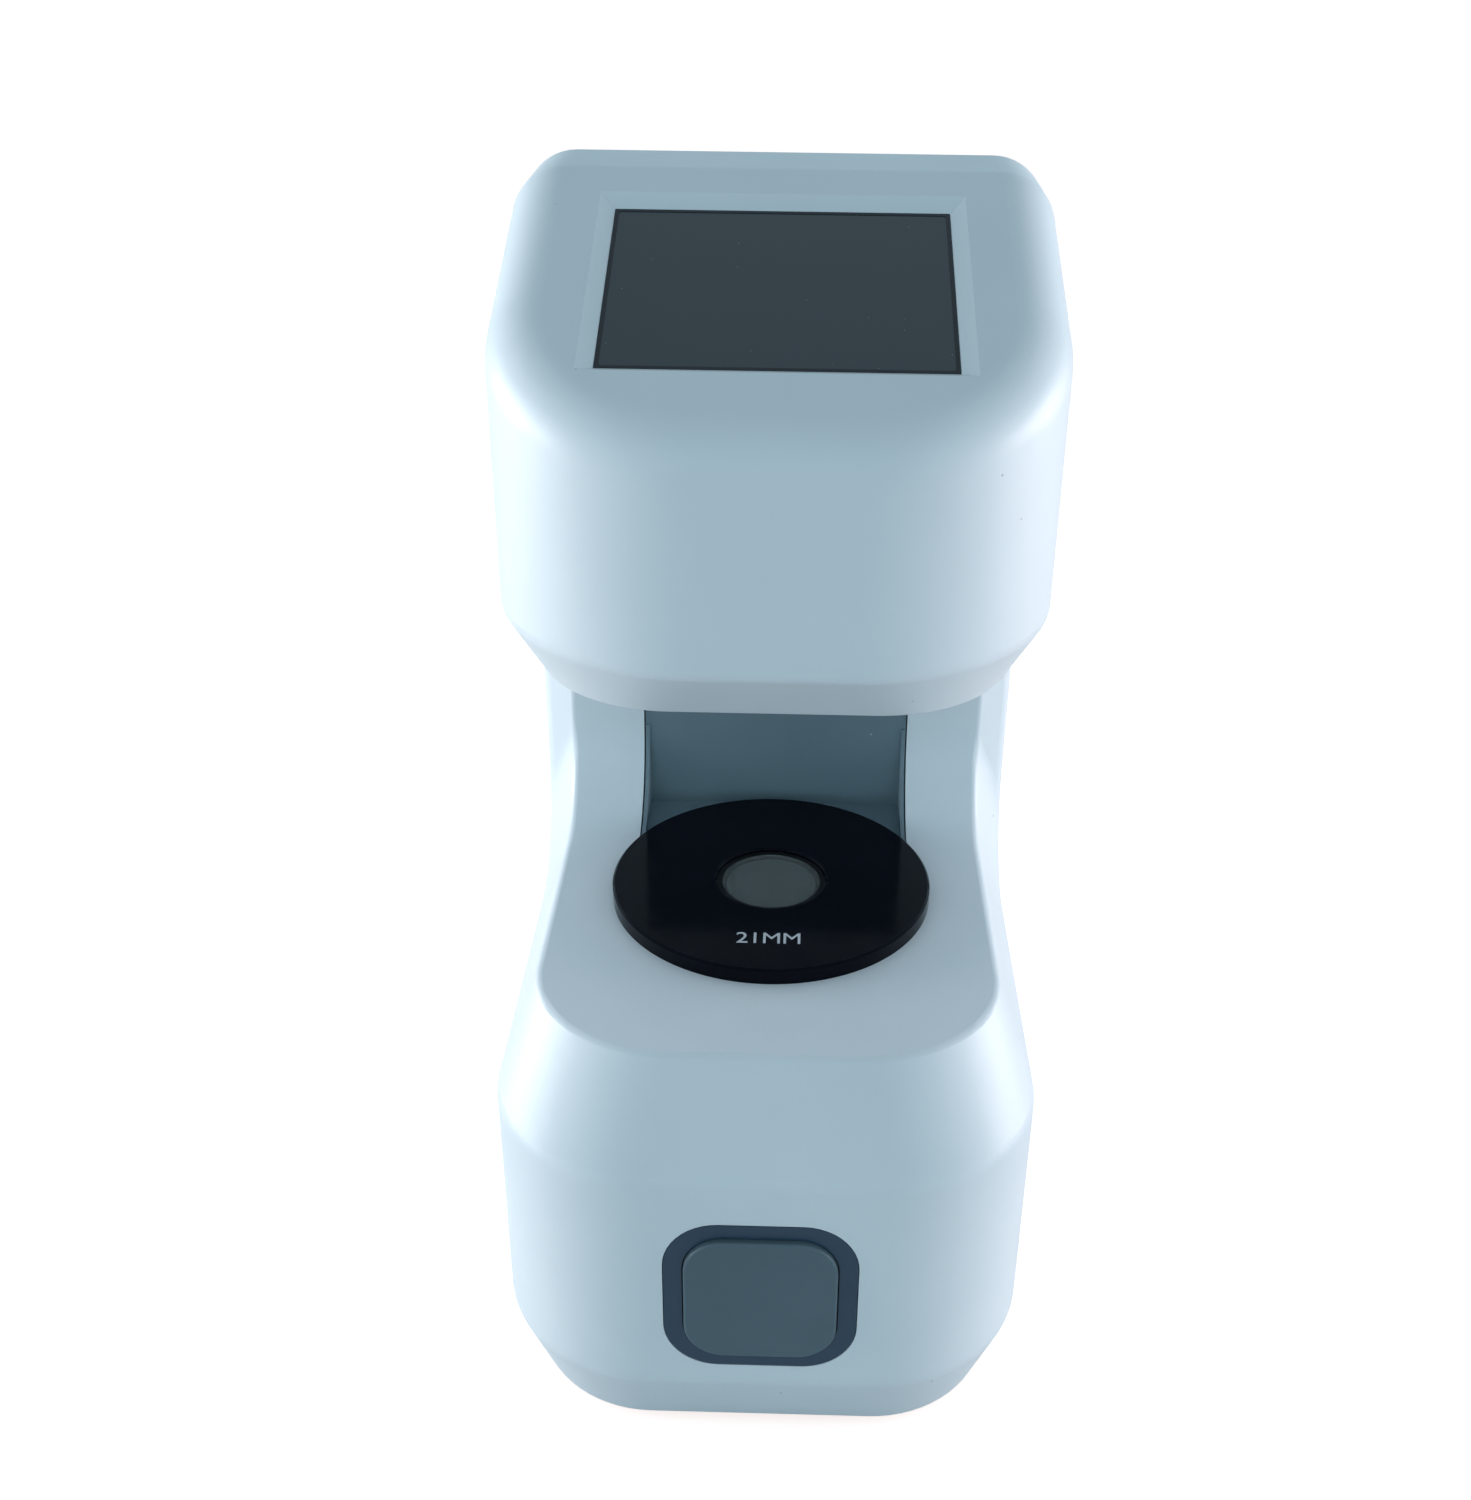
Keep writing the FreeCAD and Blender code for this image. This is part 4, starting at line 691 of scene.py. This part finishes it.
borderPoints, borderFaces = sweepProfile([outer, outer, inner, inner], [low, high, high, low])
# painted shade: the band's dark colour stands in for the shade where the recess wall meets the glass
borderShadePaint = plastic(
    "borderShadePaint",
    rgb(38, 47, 53),
    rgb(32, 41, 47),
    roughness=0.25,
    grain=5000.0,
    depth=0.002,
    drift=60.0,
    marks=0.2,
    dust=0.05,
)
meshPiece(
    "screen_border",
    placePoints(borderPoints, faceMatrix),
    borderFaces[:, ::-1],
    "casing",
    borderShadePaint,
)

# size mark on the lens table, filled with light ink
sizeMark = {"text": "21MM", "size": 4.8, "spread": 0.98, "raise": 0.03, "fromAxis": 20.6}
ink = plastic(
    "markInk",
    rgb(212, 216, 222),
    rgb(190, 195, 202),
    roughness=0.5,
    grain=4000.0,
    depth=0.01,
    drift=300.0,
    marks=0.2,
    dust=0.0,
)


def textPiece(name, text, size, matrix, body, material, thick, spread=1.0):
    curve = bpy.data.curves.new(name, "FONT")
    curve.body = text
    curve.size = size
    curve.space_character = spread
    curve.align_x = "CENTER"
    curve.align_y = "CENTER"
    curve.extrude = thick / 2
    curve.resolution_u = 4
    holder = bpy.data.objects.new(name + "Holder", curve)
    bpy.context.scene.collection.objects.link(holder)
    bpy.context.view_layer.update()
    mesh = bpy.data.meshes.new_from_object(
        holder.evaluated_get(bpy.context.evaluated_depsgraph_get())
    )
    mesh.name = name
    bpy.data.objects.remove(holder)
    bpy.data.curves.remove(curve)
    mesh.transform(matrix)
    mesh.materials.clear()
    mesh.materials.append(material)
    piece = bpy.data.objects.new(name, mesh)
    bpy.context.scene.collection.objects.link(piece)
    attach(piece, body)


markPlace = Matrix.Translation((
    opticalAxis[0],
    opticalAxis[1] - sizeMark["fromAxis"] * mm,
    discHigh.z + sizeMark["raise"] * mm / 2,
))
textPiece(
    "size_mark",
    sizeMark["text"],
    sizeMark["size"] * mm,
    markPlace,
    "lens_table",
    ink,
    sizeMark["raise"] * mm,
    sizeMark["spread"],
)

# on and off marks on the two faces of the power rocker, filled with light ink
rockerMarks = {
    "pivot": (18.0, 51.6, 28.0), "turn": 8.0, "out": 3.25, "rise": 5.457, "raise": 0.04, "size": 4.2
}
rockerInk = plastic(
    "rockerInk",
    rgb(226, 228, 230),
    rgb(206, 209, 212),
    roughness=0.45,
    grain=4000.0,
    depth=0.01,
    drift=300.0,
    marks=0.2,
    dust=0.0,
)
own = math.radians(rockerMarks["turn"])
for name, text, side in (("rocker_mark_on", "I", -1), ("rocker_mark_off", "O", 1)):
    # each face leans by the turn to its own side, on top of the turn of the whole rocker
    lean = own * (1 + side)
    out, rise = side * rockerMarks["out"], rockerMarks["rise"]
    facing = Vector((-math.sin(lean), math.cos(lean), 0))
    fromPivot = Vector((
        out * math.cos(own) - rise * math.sin(own),
        out * math.sin(own) + rise * math.cos(own),
        0,
    ))
    middle = Vector(rockerMarks["pivot"]) + fromPivot + facing * (rockerMarks["raise"] / 2)
    reading = Vector((-math.cos(lean), -math.sin(lean), 0))
    face = Matrix((
        (reading.x, 0, facing.x, middle.x * mm),
        (reading.y, 0, facing.y, middle.y * mm),
        (reading.z, 1, facing.z, middle.z * mm),
        (0, 0, 0, 1),
    ))
    textPiece(
        name,
        text,
        rockerMarks["size"] * mm,
        face,
        "rocker",
        rockerInk,
        rockerMarks["raise"] * mm,
    )
print("scene: details made")


# floor, light and camera
studio = {
    "sky": (0.56, 0.82, 0.94), "zenith": (0.27, 0.32, 0.36), "skyStrength": 0.98, "backdrop": 1.0,
    "floor": (0.70, 0.69, 0.69, 1), "floorShade": (0.62, 0.61, 0.61, 1),
    "floorGlow": (0.80, 0.72, 0.69, 1), "floorReach": 20, "dimFrom": 0.12, "dimTo": 0.8,
}
reach = studio["floorReach"]
floorCorners = [(-reach, -reach, 0), (reach, -reach, 0), (reach, reach, 0), (-reach, reach, 0)]
floorMesh = bpy.data.meshes.new("floor")
floorMesh.from_pydata(floorCorners, [], [(0, 1, 2, 3)])
floor = bpy.data.objects.new("floor", floorMesh)
bpy.context.scene.collection.objects.link(floor)
floorPaint, floorTree, floorShader = newMaterial("floorPaint")
floorPlace = add(floorTree, "TexCoord").outputs["Object"]
floorTone = noise(floorTree, floorPlace, scale=9.0, detail=3.0)
# the floor glows only to the camera, so that it looks near white and lights nothing
fill(
    floorTree,
    floorShader,
    Base_Color=blendColours(floorTree, floorTone, studio["floor"], studio["floorShade"]),
    Roughness=0.8,
    Specular_IOR_Level=0.1,
    Emission_Color=studio["floorGlow"],
    Emission_Strength=add(floorTree, "LightPath").outputs["Is Camera Ray"],
)
floorMesh.materials.append(floorPaint)

# the sky dims towards the zenith; the camera itself sees a plain white backdrop
world = bpy.data.worlds.new("studio")
bpy.context.scene.world = world
world.use_nodes = True
skyTree = world.node_tree
sky = skyTree.nodes["Background"]
direction = add(skyTree, "TexCoord").outputs["Generated"]
above = add(skyTree, "SeparateXYZ", Vector=direction).outputs[2]
dimming = ramp(skyTree, above, studio["dimFrom"], studio["dimTo"])
skyColour = blendColours(skyTree, dimming, (*studio["sky"], 1), (*studio["zenith"], 1))
fill(skyTree, sky, Color=skyColour, Strength=studio["skyStrength"])
backdrop = add(skyTree, "Background", Color=(1, 1, 1, 1), Strength=studio["backdrop"])
seen = add(skyTree, "LightPath").outputs["Is Camera Ray"]
either = add(skyTree, "MixShader", _0=seen, _1=sky.outputs[0], _2=backdrop.outputs[0])
skyTree.links.new(either.outputs[0], skyTree.nodes["World Output"].inputs["Surface"])

lamps = [
    # name, place, aimed at, wide, high, watts, colour
    ("leftBox", (-0.75, 0.10, 0.135), (0, 0.0, 0.09), 0.6, 0.26, 4.7, (1.0, 0.97, 1.0)),
    ("rightBox", (0.75, 0.12, 0.135), (0, 0.0, 0.09), 0.6, 0.26, 4.1, (1.0, 0.92, 0.95)),
    ("frontBox", (-0.25, -1.1, 0.65), (0, 0, 0.1), 0.8, 0.8, 0.5, (0.72, 0.93, 1.0)),
]
for name, place, aim, wide, high, watts, colour in lamps:
    light = bpy.data.lights.new(name, "AREA")
    light.shape = "RECTANGLE"
    light.size, light.size_y = wide, high
    light.energy = watts
    light.color = colour
    lamp = bpy.data.objects.new(name, light)
    bpy.context.scene.collection.objects.link(lamp)
    lamp.location = place
    lamp.rotation_euler = (Vector(aim) - Vector(place)).to_track_quat("-Z", "Y").to_euler()

# where the camera stands, in mm, and how it is turned, in degrees
shot = {
    "place": (3.77, -272.27, 260.39),
    "yaw": -1.12,
    "dip": 28.36,
    "roll": 0.65,
    "lens": 41.09,
    "shift": (-0.019, -0.002),
    "nearest": 10,
}
yaw, dip, roll = (math.radians(shot[key]) for key in ("yaw", "dip", "roll"))
ahead = Vector((math.sin(yaw) * math.cos(dip), math.cos(yaw) * math.cos(dip), -math.sin(dip)))
across = Vector((math.cos(yaw), -math.sin(yaw), 0))
upward = across.cross(ahead)
turnedAcross = across * math.cos(roll) + upward * math.sin(roll)
turnedUp = upward * math.cos(roll) - across * math.sin(roll)
cameraData = bpy.data.cameras.new("camera")
cameraData.lens = shot["lens"]
cameraData.shift_x, cameraData.shift_y = shot["shift"]
cameraData.clip_start = shot["nearest"] * mm
camera = bpy.data.objects.new("camera", cameraData)
bpy.context.scene.collection.objects.link(camera)
camera.matrix_world = Matrix((
    (turnedAcross.x, turnedUp.x, -ahead.x, shot["place"][0] * mm),
    (turnedAcross.y, turnedUp.y, -ahead.y, shot["place"][1] * mm),
    (turnedAcross.z, turnedUp.z, -ahead.z, shot["place"][2] * mm),
    (0, 0, 0, 1),
))
bpy.context.scene.camera = camera
bpy.context.scene.view_settings.view_transform = "Standard"
print("scene: studio ready")
